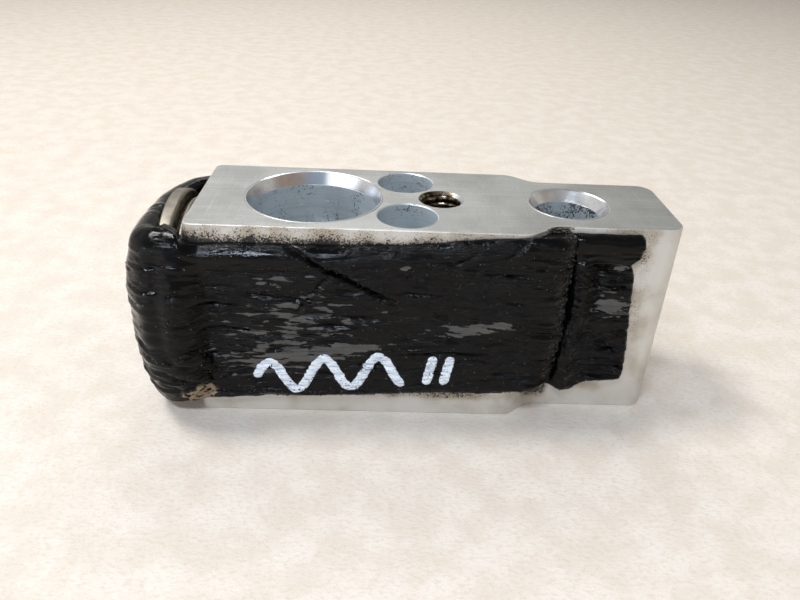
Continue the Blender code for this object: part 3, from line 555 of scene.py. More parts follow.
def turned(profile, along, segments, ring=False, place=(0.0, 0.0, 0.0)):
    """A solid turned about X or Z through a place, from (distance along, radius) points."""
    bm = bmesh.new()
    verts = [bm.verts.new((a, r, 0) if along == "X" else (r, 0, a)) for a, r in profile]
    pairs = list(zip(verts, verts[1:])) + ([(verts[-1], verts[0])] if ring else [])
    edges = [bm.edges.new(pair) for pair in pairs]
    axis = (1, 0, 0) if along == "X" else (0, 0, 1)
    bmesh.ops.spin(
        bm, geom=verts + edges, cent=(0, 0, 0), axis=axis, angle=2 * math.pi, steps=segments, use_merge=True
    )
    bmesh.ops.remove_doubles(bm, verts=bm.verts, dist=1e-7)
    bmesh.ops.recalc_face_normals(bm, faces=bm.faces)
    bmesh.ops.translate(bm, vec=place, verts=bm.verts)
    return bm


def to_mesh(bm):
    mesh = bpy.data.meshes.new("shape")
    bm.to_mesh(mesh)
    bm.free()
    return mesh


def subtract(bm, cutters):
    """The bmesh less each cutter, as a plain mesh."""
    item = placed("blank", to_mesh(bm))
    tools = [placed("cutter", to_mesh(cutter)) for cutter in cutters]
    for tool in tools:
        modifier = item.modifiers.new("cut", "BOOLEAN")
        modifier.solver = "EXACT"
        modifier.object = tool
    result = frozen(item)
    for extra in (item, *tools):
        bpy.data.objects.remove(extra)
    return result


def arc(centre, radius, start, end, steps):
    """Points on an arc, with angles in degrees."""
    points = []
    for i in range(steps + 1):
        angle = math.radians(start + (end - start) * i / steps)
        points.append((centre[0] + radius * math.cos(angle), centre[1] + radius * math.sin(angle)))
    return points


# The block


def bar_outline(sizes):
    wide, narrow = BLOCK_HIGH.y, sizes.narrow_width / 2
    shoulder_end = INLET_X - sizes.shoulder_place
    side = [
        (BLOCK_LOW.x, -wide, sizes.head_corner),
        (shoulder_end - sizes.shoulder_length, -wide, sizes.shoulder_blend),
        (shoulder_end, -narrow, sizes.shoulder_blend),
        (BLOCK_HIGH.x, -narrow, sizes.tail_corner),
    ]
    return rounded(side + [(x, -y, radius) for x, y, radius in reversed(side)])


def bore_profile(radius, mouth, cone, pilot, passage, end):
    """A stepped bore with a broken edge, a cone and a narrower passage, from the upper face to its end."""
    height, edge = BLOCK_HEIGHT, 0.08 * MM
    return [
        (height + PAST, 0),
        (height + PAST, radius + mouth + edge),
        (height, radius + mouth + edge),
        (height - edge * 0.3, radius + mouth + edge * 0.3),
        (height - edge, radius + mouth),
        (height - cone, radius + edge * 0.4),
        (height - cone - edge * 0.4, radius),
        (height - pilot, radius),
        (height - pilot, passage),
        (end, passage),
        (end, 0),
    ]


def flipped(profile):
    """The profile seen from the bar's lower face."""
    return [(BLOCK_HEIGHT - z, radius) for z, radius in profile]


def port_cutters(sizes):
    middle, passage = BLOCK_HEIGHT / 2, sizes.liquid_passage
    suction_cone = (sizes.suction_radius, sizes.suction_mouth, sizes.suction_cone)
    inlet_cone = (sizes.inlet_radius, sizes.liquid_mouth, sizes.liquid_cone)
    outlet_cone = (sizes.outlet_radius, sizes.liquid_mouth, sizes.liquid_cone)
    suction = bore_profile(*suction_cone, sizes.suction_pilot, sizes.suction_passage, middle - MM)
    inlet = bore_profile(*inlet_cone, sizes.inlet_pilot, passage, middle)
    outlet = bore_profile(*outlet_cone, sizes.outlet_pilot, passage, middle - passage)
    cutters = [
        turned(suction, "Z", 160, place=(SUCTION_X, 0, 0)),
        turned(flipped(suction), "Z", 160, place=(SUCTION_X, 0, 0)),
        turned(inlet, "Z", 112, place=(INLET_X, 0, 0)),
        turned(flipped(outlet), "Z", 112, place=(OUTLET_X, 0, 0)),
    ]
    # The ring that the form tool's shoulder leaves round a mouth
    top, depth = BLOCK_HEIGHT, 0.06 * MM
    for x, radius in (
        (SUCTION_X, sizes.suction_radius + sizes.suction_mouth + 0.30 * MM),
        (INLET_X, sizes.inlet_radius + sizes.liquid_mouth + 0.34 * MM),
    ):
        ring = [(top + PAST, radius - 1.4 * MM), (top - depth, radius), (top + PAST, radius + 2.6 * MM)]
        cutters.append(turned(ring, "Z", 160, ring=True, place=(x, 0, 0)))
    return cutters


def bolt_cutters(sizes):
    edge = 0.15 * MM
    floor = BLOCK_HEIGHT - sizes.bolt_depth
    profile = [
        (-PAST, 0),
        (-PAST, sizes.bolt_hole + edge),
        (0, sizes.bolt_hole + edge),
        (edge, sizes.bolt_hole),
        (floor, sizes.bolt_hole),
        (floor, sizes.bolt_head),
        (BLOCK_HEIGHT - edge, sizes.bolt_head),
        (BLOCK_HEIGHT, sizes.bolt_head + edge),
        (BLOCK_HEIGHT + PAST, sizes.bolt_head + edge),
        (BLOCK_HEIGHT + PAST, 0),
    ]
    return [turned(profile, "Z", 80, place=(BOLT_X, side * BOLT_Y, 0)) for side in (-1, 1)]


def stud_cutter(sizes):
    floor = BLOCK_HEIGHT - sizes.stud_depth
    sink = sizes.stud_mouth - sizes.stud_radius
    drill_point = math.radians(118) / 2
    profile = [
        (floor - sizes.stud_radius / math.tan(drill_point), 0),
        (floor, sizes.stud_radius),
        (BLOCK_HEIGHT - sink, sizes.stud_radius),
        (BLOCK_HEIGHT, sizes.stud_mouth),
        (BLOCK_HEIGHT + PAST, sizes.stud_mouth),
        (BLOCK_HEIGHT + PAST, 0),
    ]
    return turned(profile, "Z", 72, place=(BOLT_X + sizes.stud_to_bolts, 0, 0))


def stem_cutters(sizes):
    """The bores along the stem: the head's socket, the guide, the orifice, the chamber and the tail."""
    cone, socket_end = 1.9 * MM, HEAD_END + 6.2 * MM
    clearance, web = 6 * MM, SUCTION_X - 4 * MM
    head = [
        (HEAD_END - PAST, 0),
        (HEAD_END - PAST, sizes.neck_bore + cone),
        (HEAD_END, sizes.neck_bore + cone),
        (HEAD_END + cone, sizes.neck_bore),
        (socket_end, sizes.neck_bore),
        (socket_end, clearance),
        (web, clearance),
        (web, 0),
    ]
    seal_bore, seal_end, pin_bore = 3.1 * MM, SUCTION_X + 11.5 * MM, 1.25 * MM
    guide = [
        (SUCTION_X, 0),
        (SUCTION_X, seal_bore),
        (seal_end, seal_bore),
        (seal_end, pin_bore),
        (OUTLET_X, pin_bore),
        (OUTLET_X, 0),
    ]
    orifice, seat_mouth = 1.75 * MM, 3.15 * MM
    seat = OUTLET_X + 5.0 * MM
    seat_end = seat + 1.4 * MM
    thread, chamfer = SCREW_LOW.x + 5.2 * MM, 0.25 * MM
    tail = [
        (OUTLET_X, 0),
        (OUTLET_X, orifice),
        (seat, orifice),
        (seat_end, seat_mouth),
        (seat_end, sizes.chamber),
        (thread, sizes.chamber),
        (thread, sizes.screw_bore),
        (BLOCK_HIGH.x - chamfer, sizes.screw_bore),
        (BLOCK_HIGH.x, sizes.screw_bore + chamfer),
        (BLOCK_HIGH.x + PAST, sizes.screw_bore + chamfer),
        (BLOCK_HIGH.x + PAST, 0),
    ]
    return [turned(profile, "X", 96, place=STEM_AXIS) for profile in (head, guide, tail)]


def sort_faces(mesh, sizes):
    """Gives each face its finish, by its number in the block's list of materials."""
    milled, extruded, bored, burnished, tapped = range(5)
    stud_x, rim, skin = BOLT_X + sizes.stud_to_bolts, 0.6 * MM, 0.1 * MM
    socket_end = HEAD_END + 6.3 * MM
    cones = [
        (SUCTION_X, sizes.suction_radius + sizes.suction_mouth + rim),
        (INLET_X, sizes.inlet_radius + sizes.liquid_mouth + rim),
        (OUTLET_X, sizes.outlet_radius + sizes.liquid_mouth + rim),
    ]
    for face in mesh.polygons:
        at, up = face.center, abs(face.normal.z)
        flat = up > 0.995 and (at.z < skin or at.z > BLOCK_HEIGHT - skin)
        in_cone = any(math.hypot(at.x - x, at.y) < radius for x, radius in cones)
        in_bolt = math.hypot(at.x - BOLT_X, abs(at.y) - BOLT_Y) < sizes.bolt_head + 0.2 * MM
        stem_reach = sizes.neck_bore + 2 * MM if at.x < socket_end else sizes.screw_bore + skin
        inside = BLOCK_LOW.x + 0.02 * MM < at.x < BLOCK_HIGH.x - 0.02 * MM
        in_stem = inside and math.hypot(at.y, at.z - STEM_HEIGHT) < stem_reach
        broken_edge = in_cone and 0.6 < up < 0.8
        if flat or broken_edge:
            face.material_index = milled
        elif math.hypot(at.x - stud_x, at.y) < sizes.stud_mouth and at.z > BLOCK_HEIGHT / 2:
            face.material_index = tapped
        elif in_cone and 0.2 < up:
            face.material_index = burnished
        else:
            face.material_index = bored if in_cone or in_bolt or in_stem else extruded


class VALVE_OT_block(bpy.types.Operator):
    """Build the machined block"""

    bl_idname = "valve.block"
    bl_label = "Block"

    def execute(self, context):
        sizes, metal = context.scene.valve_block, context.scene.valve_metal
        blank = bar(bar_outline(sizes), 0.0, BLOCK_HEIGHT, sizes.edge)
        cutters = port_cutters(sizes) + bolt_cutters(sizes) + [stud_cutter(sizes)] + stem_cutters(sizes)
        mesh = smooth(subtract(blank, cutters), 12)
        sort_faces(mesh, sizes)
        wrap_low, wrap_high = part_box("tape_wrap")
        finished(
            "machined_block",
            mesh,
            "valve_body",
            milled_aluminium(metal),
            extruded_aluminium(metal, wrap_low.z + 0.8 * MM, wrap_high.z),
            bored_aluminium(metal),
            burnished_aluminium(),
            tapped_aluminium(),
            cad=["valve_block"],
            slot="anodised_aluminium",
        )
        return {"FINISHED"}


# Screw threads


def new_group(name, **inputs):
    """A geometry node tree with these named inputs and a finish, and the sockets that they come from."""
    tree = bpy.data.node_groups.new(name, "GeometryNodeTree")
    for title, kind in {**inputs, "Finish": "Material"}.items():
        tree.interface.new_socket(title, in_out="INPUT", socket_type="NodeSocket" + kind)
    tree.interface.new_socket("Geometry", in_out="OUTPUT", socket_type="NodeSocketGeometry")
    return tree, add_node(tree, "NodeGroupInput").outputs


def closed_group(tree, given, last):
    """The tree with its end: what the last node gives is made real and gets the finish."""
    solid = add_node(tree, "GeometryNodeRealizeInstances", {"Geometry": last.outputs[0]})
    inputs = {"Geometry": solid.outputs[0], "Material": given["Finish"]}
    done = add_node(tree, "GeometryNodeSetMaterial", inputs)
    add_node(tree, "NodeGroupOutput", {"Geometry": done.outputs[0]})
    return tree


def thread_tree():
    """Geometry nodes that wind a three-sided ridge round the Z axis."""
    tree, given = new_group("screw_thread", Radius="Float", Pitch="Float", Turns="Float", Ridge="Float")
    height = add_node(tree, "ShaderNodeMath", {0: given["Pitch"], 1: given["Turns"]}, operation="MULTIPLY")
    path = add_node(
        tree,
        "GeometryNodeCurveSpiral",
        {
            "Resolution": 56,
            "Rotations": given["Turns"],
            "Start Radius": given["Radius"],
            "End Radius": given["Radius"],
            "Height": height.outputs[0],
        },
    )
    section = add_node(tree, "GeometryNodeCurvePrimitiveCircle", {"Resolution": 6, "Radius": given["Ridge"]})
    swept = add_node(
        tree,
        "GeometryNodeCurveToMesh",
        {"Curve": path.outputs[0], "Profile Curve": section.outputs[0], "Fill Caps": True},
    )
    return closed_group(tree, given, swept)


def from_nodes(tree, values, source=None):
    """The mesh that a node tree gives with these inputs, on an empty mesh or a copy of a source."""
    item = placed("maker", source or bpy.data.meshes.new("empty"))
    modifier = item.modifiers.new("nodes", "NODES")
    modifier.node_group = tree
    for socket in tree.interface.items_tree:
        if socket.in_out == "INPUT" and socket.name in values:
            modifier[socket.identifier] = values[socket.name]
    item.update_tag()
    result = frozen(item)
    bpy.data.objects.remove(item)
    return result


class VALVE_OT_threads(bpy.types.Operator):
    """Wind the threads of the tapped hole and of the adjusting screw"""

    bl_idname = "valve.threads"
    bl_label = "Threads"

    def execute(self, context):
        sizes = context.scene.valve_block
        tree, turns = thread_tree(), 6.0
        first_turn = BLOCK_HEIGHT - 0.75 * MM
        stud_place = (BOLT_X + sizes.stud_to_bolts, 0, first_turn - turns * sizes.thread_pitch)
        screw_place = (SCREW_HIGH.x - 3.25 * MM, 0, STEM_HEIGHT)
        along_stem = Matrix.Rotation(math.radians(90), 4, "Y")
        stud = (sizes.stud_radius, turns, 0.46 * MM, Matrix.Translation(stud_place))
        screw = (SCREW_HIGH.y - 0.26 * MM, 3.0, 0.30 * MM, Matrix.Translation(screw_place) @ along_stem)
        for name, body, slot, finish, (radius, turns, ridge, move) in (
            ("tapped_thread", "valve_body", "anodised_aluminium", "tapped_aluminium", stud),
            ("screw_thread", "adjuster", "brass", "turned_brass", screw),
        ):
            values = {"Radius": radius, "Pitch": sizes.thread_pitch, "Turns": turns, "Ridge": ridge}
            values["Finish"] = bpy.data.materials[finish]
            mesh = from_nodes(tree, values)
            mesh.transform(move)
            finished(name, smooth(mesh, 60), body, slot=slot)
        return {"FINISHED"}


class VALVE_OT_screw(bpy.types.Operator):
    """Build the adjusting screw with its hexagon socket"""

    bl_idname = "valve.screw"
    bl_label = "Adjusting screw"

    def execute(self, context):
        brass = plain_finish("turned_brass", "#b7a67c", "#96855a", (30, 0.2, 0.2), 0.01, 1.0, 0.3)
        start, face = SCREW_LOW.x, SCREW_HIGH.x
        seal, recess, groove, chamfer = 5.35 * MM, 4.0 * MM, 4.11 * MM, 0.3 * MM
        profile = [
            (start + 1.5 * MM, 0),
            (start + 1.5 * MM, recess),
            (start, recess),
            (start, seal - chamfer),
            (start + chamfer, seal),
            (start + 2.2 * MM, seal),
            (start + 2.2 * MM, groove),
            (start + 3.6 * MM, groove),
            (start + 3.6 * MM, seal),
            (start + 6.4 * MM, seal),
            (face - 0.5 * MM, seal),
            (face - 0.15 * MM, seal - chamfer),
            (face, seal - 0.5 * MM),
            (face, 3.25 * MM),
            (face - chamfer, 2.95 * MM),
            (face - chamfer, 0),
        ]
        corner, depth, drilled = 5.0 * MM / math.sqrt(3), face - 3.2 * MM, 2.35 * MM
        key = [(depth, 0), (depth, corner), (face + MM, corner), (face + MM, 0)]
        drill = [(depth - 1.2 * MM, 0), (depth, drilled), (depth + MM, drilled), (depth + MM, 0)]
        cutters = [turned(key, "X", 6, place=STEM_AXIS), turned(drill, "X", 48, place=STEM_AXIS)]
        mesh = smooth(subtract(turned(profile, "X", 96, place=STEM_AXIS), cutters))
        finished("adjusting_plug", mesh, "adjuster", brass, cad=["adjusting_screw"], slot="brass")
        return {"FINISHED"}


# The diaphragm head


def dome_curve(base, rise, flat, edge, steps=16):
    """A smooth rise from the clamp land to the dome's flat top, as (x, radius)."""
    points = []
    for i in range(steps + 1):
        share = i / steps
        points.append((base - rise * (1 + math.cos(math.pi * share)) / 2, flat + (edge - flat) * share))
    return points


class VALVE_OT_head(bpy.types.Operator):
    """Build the two pressed shells of the diaphragm head"""

    bl_idname = "valve.head"
    bl_label = "Diaphragm head"

    def execute(self, context):
        sizes, metal = context.scene.valve_head, context.scene.valve_metal
        rim = CAP_HIGH.y
        lip_face = CAP_HIGH.x
        top = CAP_LOW.x + sizes.dome_rise
        hole = 0.85 * MM
        flange = rim - SHEET - 0.05 * MM
        clamp = flange - sizes.clamp_land
        lip = flange - sizes.lip_width
        roll = 0.62 * MM
        dome = dome_curve(top, sizes.dome_rise, 3.5 * MM, clamp)
        stainless = pressed_stainless(metal, lip_face, lip_face + 0.5 * MM)
        profile = [(CAP_LOW.x, hole)] + dome
        profile += arc((top + roll * 1.3, rim - roll), roll * 1.3, 180, 90, 8)[1:]
        profile[-8:] = [(x, min(radius, rim)) for x, radius in profile[-8:]]
        profile += arc((lip_face - roll, rim - roll), roll, 90, 0, 8)
        profile += [(lip_face, lip + 0.2 * MM), (lip_face - 0.06 * MM, lip + 0.05 * MM)]
        under = lip_face - 0.45 * MM
        profile += [(under, lip), (under, rim - SHEET), (top + SHEET, rim - SHEET)]
        profile += [(x + SHEET, radius) for x, radius in reversed(dome)] + [(CAP_LOW.x + SHEET, hole)]
        cap = smooth(to_mesh(turned(profile, "X", 192, ring=True, place=STEM_AXIS)), 40)
        finished("cap_shell", cap, "valve_body", stainless, cad=["head_cap"], slot="stainless_sheet")

        groove = lip - 0.3 * MM
        bead = groove + sizes.bead
        face = HEAD_END - 0.35 * MM
        floor = face - 1.1 * MM
        flange_under, neck_end, bore = under - 0.05 * MM, BASE_HIGH.x, 5.4 * MM
        bead_middle = lip_face + 0.85 * MM
        profile = [
            (neck_end, bore),
            (neck_end, sizes.neck_radius - 0.2 * MM),
            (neck_end - 0.2 * MM, sizes.neck_radius),
            (face, sizes.neck_radius),
            (face, groove - 1.1 * MM),
            (face - 0.15 * MM, groove - 0.5 * MM),
            (face - 0.5 * MM, groove),
        ]
        profile += arc((bead_middle, bead - 0.42 * MM), 0.42 * MM, 30, 170, 8)
        profile += [
            (lip_face + 0.42 * MM, groove),
            (flange_under, groove),
            (flange_under, flange),
            (BASE_LOW.x, flange),
            (BASE_LOW.x, clamp),
            (BASE_LOW.x + SHEET, clamp - 1.0 * MM),
            (floor, 9.2 * MM),
            (floor, bore),
        ]
        base = smooth(to_mesh(turned(profile, "X", 192, ring=True, place=STEM_AXIS)), 40)
        finished("base_shell", base, "valve_body", stainless, cad=["head_base"], slot="stainless_sheet")
        return {"FINISHED"}


class VALVE_OT_inner_parts(bpy.types.Operator):
    """Give the seals, springs and stem their finishes, and the sensing rod its turned shape"""

    bl_idname = "valve.inner_parts"
    bl_label = "Inner parts"

    def execute(self, context):
        steel = plain_finish("ground_steel", "#b9b9b8", "#9c9c9c", (3, 0.15, 0.15), 0.004, 1.0, 0.2)
        wire = plain_finish("spring_wire", "#8a8a8c", "#6c6c70", 0.2, 0.01, 1.0, 0.3)
        rubber = plain_finish("nitrile_rubber", "#1b211d", "#252a26", 0.3, 0.01, 0.0, 0.55)
        rod_metal = plain_finish("turned_aluminium", "#c3c4c2", "#a7a9a8", (0.14, 8, 8), 0.008, 1.0, 0.3)
        brass = bpy.data.materials["turned_brass"]
        finishes = {
            "thrust_pad": steel,
            "push_pin": steel,
            "valve_ball": steel,
            "charge_plug": steel,
            "diaphragm": wire,
            "damper_spring": wire,
            "head_seal": rubber,
            "rod_seal": rubber,
            "screw_seal": rubber,
            "seal_retainer": brass,
            "ball_holder": brass,
        }
        for node, material in finishes.items():
            mesh = frame["nodes"][node].data
            mesh.materials.clear()
            mesh.materials.append(material)
        self.split_spring(wire)
        radius, pin = ROD_HIGH.y, 1.25 * MM
        socket = ROD_HIGH.x - 3.6 * MM
        profile = [
            (ROD_LOW.x, 0),
            (ROD_LOW.x, radius - 0.2 * MM),
            (ROD_LOW.x + 0.2 * MM, radius),
            (ROD_HIGH.x - 0.4 * MM, radius),
            (ROD_HIGH.x - 0.1 * MM, radius - 0.25 * MM),
            (ROD_HIGH.x, radius - 0.4 * MM),
            (ROD_HIGH.x, pin),
            (socket, pin),
            (socket, 0),
        ]
        mesh = smooth(to_mesh(turned(profile, "X", 96, place=STEM_AXIS)))
        finished("sensing_bar", mesh, "stem", rod_metal, cad=["sensing_rod"], slot="anodised_aluminium")
        return {"FINISHED"}

    def split_spring(self, wire):
        """The valve spring cut in two halves at its middle, one at the ball holder's end and one at the
        adjusting screw's end.
        """
        low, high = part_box("valve_spring")
        middle, closed_turn = (low.x + high.x) / 2, 1.0 * MM
        for name, keep, other, end in (
            ("spring_by_holder", -1, "stem", low.x + closed_turn),
            ("spring_by_screw", 1, "adjuster_seal", high.x - closed_turn),
        ):
            bm = bmesh.new()
            bm.from_mesh(frame["nodes"]["valve_spring"].data)
            bmesh.ops.remove_doubles(bm, verts=bm.verts, dist=1e-7)
            geometry = bm.verts[:] + bm.edges[:] + bm.faces[:]
            cut = bmesh.ops.bisect_plane(
                bm, geom=geometry, plane_co=(middle, 0, 0), plane_no=(-keep, 0, 0), clear_outer=True
            )
            seam = [item for item in cut["geom_cut"] if isinstance(item, bmesh.types.BMEdge)]
            bmesh.ops.holes_fill(bm, edges=seam)
            mesh = smooth(to_mesh(bm), 50)
            mesh.name = name
            mesh.materials.clear()
            mesh.materials.append(wire)
            item = placed(name, mesh)
            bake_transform(item)
            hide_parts("valve_spring")


# Insulation tape. Lengths in this part are in millimetres, and x is a station from the head end.


def value_noise(u, v, seed):
    """Smooth random values from -1 to 1, on a lattice with a spacing of 1."""
    table = np.random.default_rng(seed).uniform(-1, 1, (128, 128))
    column, row = np.floor(u).astype(int), np.floor(v).astype(int)
    fu, fv = u - column, v - row
    fu, fv = fu**3 * (fu * (fu * 6 - 15) + 10), fv**3 * (fv * (fv * 6 - 15) + 10)
    near = table[column % 128, row % 128] * (1 - fu) + table[(column + 1) % 128, row % 128] * fu
    far = table[column % 128, (row + 1) % 128] * (1 - fu) + table[(column + 1) % 128, (row + 1) % 128] * fu
    return near * (1 - fv) + far * fv


def layered(u, v, seed, layers=3):
    """Value noise with finer layers on it."""
    total, weight = 0, 0
    for i in range(layers):
        total = total + value_noise(u * 2**i + 7.3 * i, v * 2**i + 3.1 * i, seed + i) * 0.5**i
        weight += 0.5**i
    return total / weight


def ridged(u, v, seed, layers=3):
    """Noise with sharp valleys, from 0 in a valley to 1."""
    total, weight = 0, 0
    for i in range(layers):
        total = total + np.abs(value_noise(u * 2**i + 5.7 * i, v * 2**i, seed + i)) * 0.6**i
        weight += 0.6**i
    return np.clip(total / weight * 2, 0, 1)


def smoothstep(low, high, value):
    share = np.clip((value - low) / (high - low), 0, 1)
    return share * share * (3 - 2 * share)


def bump(centre, reach, value):
    """A soft hill of height 1 round a centre."""
    return np.exp(-(((value - centre) / reach) ** 2))


def along(points, x):
    """A value read off a line through (x, value) points."""
    stations, values = zip(*sorted(points))
    return np.interp(x, stations, values)


def crease(x, z, points, depth, width, step=0.0):
    """A fold line through (x, z) points: a sharp valley with one side standing over the other."""
    nearest = np.full(x.shape, 1e9)
    side = np.zeros(x.shape)
    fade = np.zeros(x.shape)
    total = len(points) - 1
    for i, ((x0, z0), (x1, z1)) in enumerate(zip(points, points[1:])):
        run = np.hypot(x1 - x0, z1 - z0)
        t = ((x - x0) * (x1 - x0) + (z - z0) * (z1 - z0)) / run**2
        inside = np.clip(t, 0, 1)
        distance = np.hypot(x - x0 - inside * (x1 - x0), z - z0 - inside * (z1 - z0))
        closer = distance < nearest
        nearest = np.where(closer, distance, nearest)
        cross = ((x1 - x0) * (z - z0) - (z1 - z0) * (x - x0)) / run
        side = np.where(closer, np.sign(cross), side)
        fade = np.where(closer, (i + inside) / total, fade)
    ends = np.clip(np.minimum(fade, 1 - fade) * 5 + 0.15, 0, 1)
    valley = -depth * np.exp(-((nearest / width) ** 2))
    over = step * (side > 0) * np.exp(-nearest / (width * 7)) * smoothstep(0, width, nearest)
    return (valley + over) * ends


def pinches(s, z, area, count, seed, depth=0.2):
    """Short pinched wrinkles that run along the strip, each a narrow valley with a raised lip."""
    rng = np.random.default_rng(seed)
    total = np.zeros(s.shape)
    (s0, s1), (z0, z1) = area
    for _ in range(count):
        at, height = rng.uniform(s0, s1), rng.uniform(z0, z1)
        half, slope = rng.uniform(1.2, 5.0), rng.normal(0, 0.06)
        curve, width = rng.normal(0, 0.012), rng.uniform(0.16, 0.32)
        size = depth * rng.uniform(0.4, 1.0)
        ds = s - at
        line = height + slope * ds + curve * ds**2
        window = np.clip(1 - (ds / half) ** 2, 0, 1)
        total -= size * window * np.exp(-(((z - line) / width) ** 2))
        total += 0.6 * size * window * np.exp(-(((z - line + 1.9 * width) / width) ** 2))
    return total


def striations(s, z, seed, strength):
    """The long fine ribs that a stretched strip shows, with slow lumps under them."""
    warp = 0.5 * value_noise(s / 7, z / 4, seed + 40)
    ribs = ridged(s / 11, (z + warp) / 1.5, seed, 3)
    fine = ridged(s / 5, (z + warp) / 0.62, seed + 10, 2)
    lumps = layered(s / 9, z / 4.5, seed + 20, 3)
    return strength * (0.13 * (ribs - 0.5) + 0.06 * (fine - 0.5)) + 0.22 * lumps


def piece_counts(corners, step):
    """Into how many pieces each side of a line is cut, for points about step apart."""
    corners = np.array(corners, float)
    runs = np.hypot(*(corners[1:] - corners[:-1]).T)
    return [max(2, int(round(run / step))) for run in runs]


def resampled(corners, counts, ease):
    """Each side of a line through corners cut into its count of pieces, then eased with a soft kernel."""
    points = []
    for (x0, y0), (x1, y1), count in zip(corners, corners[1:], counts):
        for i in range(count):
            points.append((x0 + (x1 - x0) * i / count, y0 + (y1 - y0) * i / count))
    points = np.array(points + [corners[-1]], float)
    reach = int(ease * 3)
    kernel = np.exp(-((np.arange(-reach, reach + 1) / ease) ** 2))
    kernel /= kernel.sum()
    first, last = points[0], points[-1]
    lead = first + (points[1] - first) * np.arange(-reach, 0)[:, None]
    tail = last + (last - points[-2]) * np.arange(1, reach + 1)[:, None]
    padded = np.vstack([lead, points, tail])
    return np.stack([np.convolve(padded[:, k], kernel, "valid") for k in (0, 1)], axis=1)


def strip_mesh(base, outer, attributes):
    """A closed strip from its adhesive side and its outer side, both grids of points in millimetres."""
    rows, columns = base.shape[:2]
    kept = list(range(0, columns - 1, 4)) + [columns - 1]
    inner = base[:, kept]
    verts = np.vstack([outer.reshape(-1, 3), inner.reshape(-1, 3)]) * MM + (HEAD_END, 0, 0)
    offset = rows * columns

    def out(i, j):
        return i * columns + j

    def back(i, k):
        return offset + i * len(kept) + k

    faces = []
    for i in range(rows - 1):
        for j in range(columns - 1):
            faces.append((out(i, j), out(i + 1, j), out(i + 1, j + 1), out(i, j + 1)))
        for k in range(len(kept) - 1):
            faces.append((back(i, k), back(i, k + 1), back(i + 1, k + 1), back(i + 1, k)))
        faces.append((out(i, 0), back(i, 0), back(i + 1, 0), out(i + 1, 0)))
        last = len(kept) - 1
        faces.append((out(i, columns - 1), out(i + 1, columns - 1), back(i + 1, last), back(i, last)))
    for k, (a, b) in enumerate(zip(kept, kept[1:])):
        first = [out(0, j) for j in range(a, b + 1)]
        faces.append((*first, back(0, k + 1), back(0, k)))
        final = [out(rows - 1, j) for j in range(b, a - 1, -1)]
        faces.append((*final, back(rows - 1, k), back(rows - 1, k + 1)))
    mesh = bpy.data.meshes.new("strip")
    mesh.from_pydata(verts.tolist(), [], faces)
    for name, values in attributes.items():
        full = np.concatenate([values.ravel(), np.zeros(rows * len(kept))]).astype(np.float32)
        mesh.attributes.new(name, "FLOAT", "POINT").data.foreach_set("value", full)
    bm = bmesh.new()
    bm.from_mesh(mesh)
    bmesh.ops.recalc_face_normals(bm, faces=bm.faces)
    bm.to_mesh(mesh)
    bm.free()
    return smooth(mesh, 75)


def raised(base, thickness):
    """The base grid moved out along its normals by the thickness."""
    along_rows = np.gradient(base, axis=0)
    along_columns = np.gradient(base, axis=1)
    normal = np.cross(along_columns, along_rows)
    normal /= np.maximum(np.linalg.norm(normal, axis=2, keepdims=True), 1e-9)
    return base + normal * thickness[..., None]


def edge_profile(distance, radius):
    """The share of the full thickness at a distance from a rounded edge."""
    share = np.clip(distance / radius, 0, 1)
    return np.sqrt(np.clip(1 - (1 - share) ** 2, 0.0025, 1))


# Plan of the strip's adhesive side round the head, from the front seam to the back seam, at three heights
WRAP_MIDDLE = [
    (53.4, -9.9),
    (51.7, -SIDE - 0.12),
    (2.1, -SIDE - 0.12),
    (-0.85, -15.0),
    (-4.4, -15.0),
    (-7.1, -11.2),
    (-8.1, -7.0),
    (-8.1, 7.0),
    (-7.6, 11.2),
    (-4.6, 15.0),
    (-0.85, 15.0),
    (2.1, SIDE + 0.12),
    (51.7, SIDE + 0.12),
    (53.4, 9.9),
]
WRAP_HIGH = [
    *WRAP_MIDDLE[:3],
    (-0.6, -12.3),
    (-4.0, -12.2),
    (-6.1, -10.2),
    (-6.4, -5.0),
    (-6.2, 2.6),
    (-4.9, 6.6),
    (-3.4, 10.2),
    (-0.6, 12.3),
    *WRAP_MIDDLE[-3:],
]
WRAP_LOW = [
    *WRAP_MIDDLE[:3],
    (-0.6, -12.4),
    (-3.6, -12.4),
    (-6.0, -10.4),
    (-6.7, -6.0),
    (-6.7, 6.0),
    (-6.0, 10.4),
    (-3.6, 12.4),
    (-0.6, 12.4),
    *WRAP_MIDDLE[-3:],
]
# The strip's edges and the folds in its front, as (station, height)
TOP_EDGE = [(-8, 28.4), (-3, 28.4), (2, 28.3), (10, 28.6), (20, 28.7), (30, 28.9), (36, 29.6), (43, 30.4)]
TOP_EDGE += [(48, 30.8), (53, 30.8)]
LOW_EDGE = [(-8, 3.2), (-5, 1.9), (-2, 2.2), (1, 2.6), (18, 3.5), (34, 4.4), (46, 4.8), (50, 5.2), (53, 6.3)]
MAIN_CREASE = [(12.7, 29.3), (16.0, 27.6), (18.7, 26.0), (22.1, 24.3), (25.5, 22.4), (29.8, 20.3)]
BRANCH_CREASE = [(20.4, 25.0), (18.3, 22.6), (16.5, 20.1), (15.3, 18.6)]
OVERLAP_CREASE = [(47.2, 30.6), (45.6, 29.2), (43.8, 27.5)]
SMALL_CREASE = [(40.4, 28.9), (39.0, 27.7), (37.2, 26.6)]
LEVEL_CREASES = [
    [(0.4, 19.6), (4.0, 19.9), (8.0, 19.5)],
    [(0.4, 15.6), (5.0, 15.9), (11.0, 15.2)],
    [(30.0, 11.9), (36.0, 12.6), (44.0, 12.1)],
]
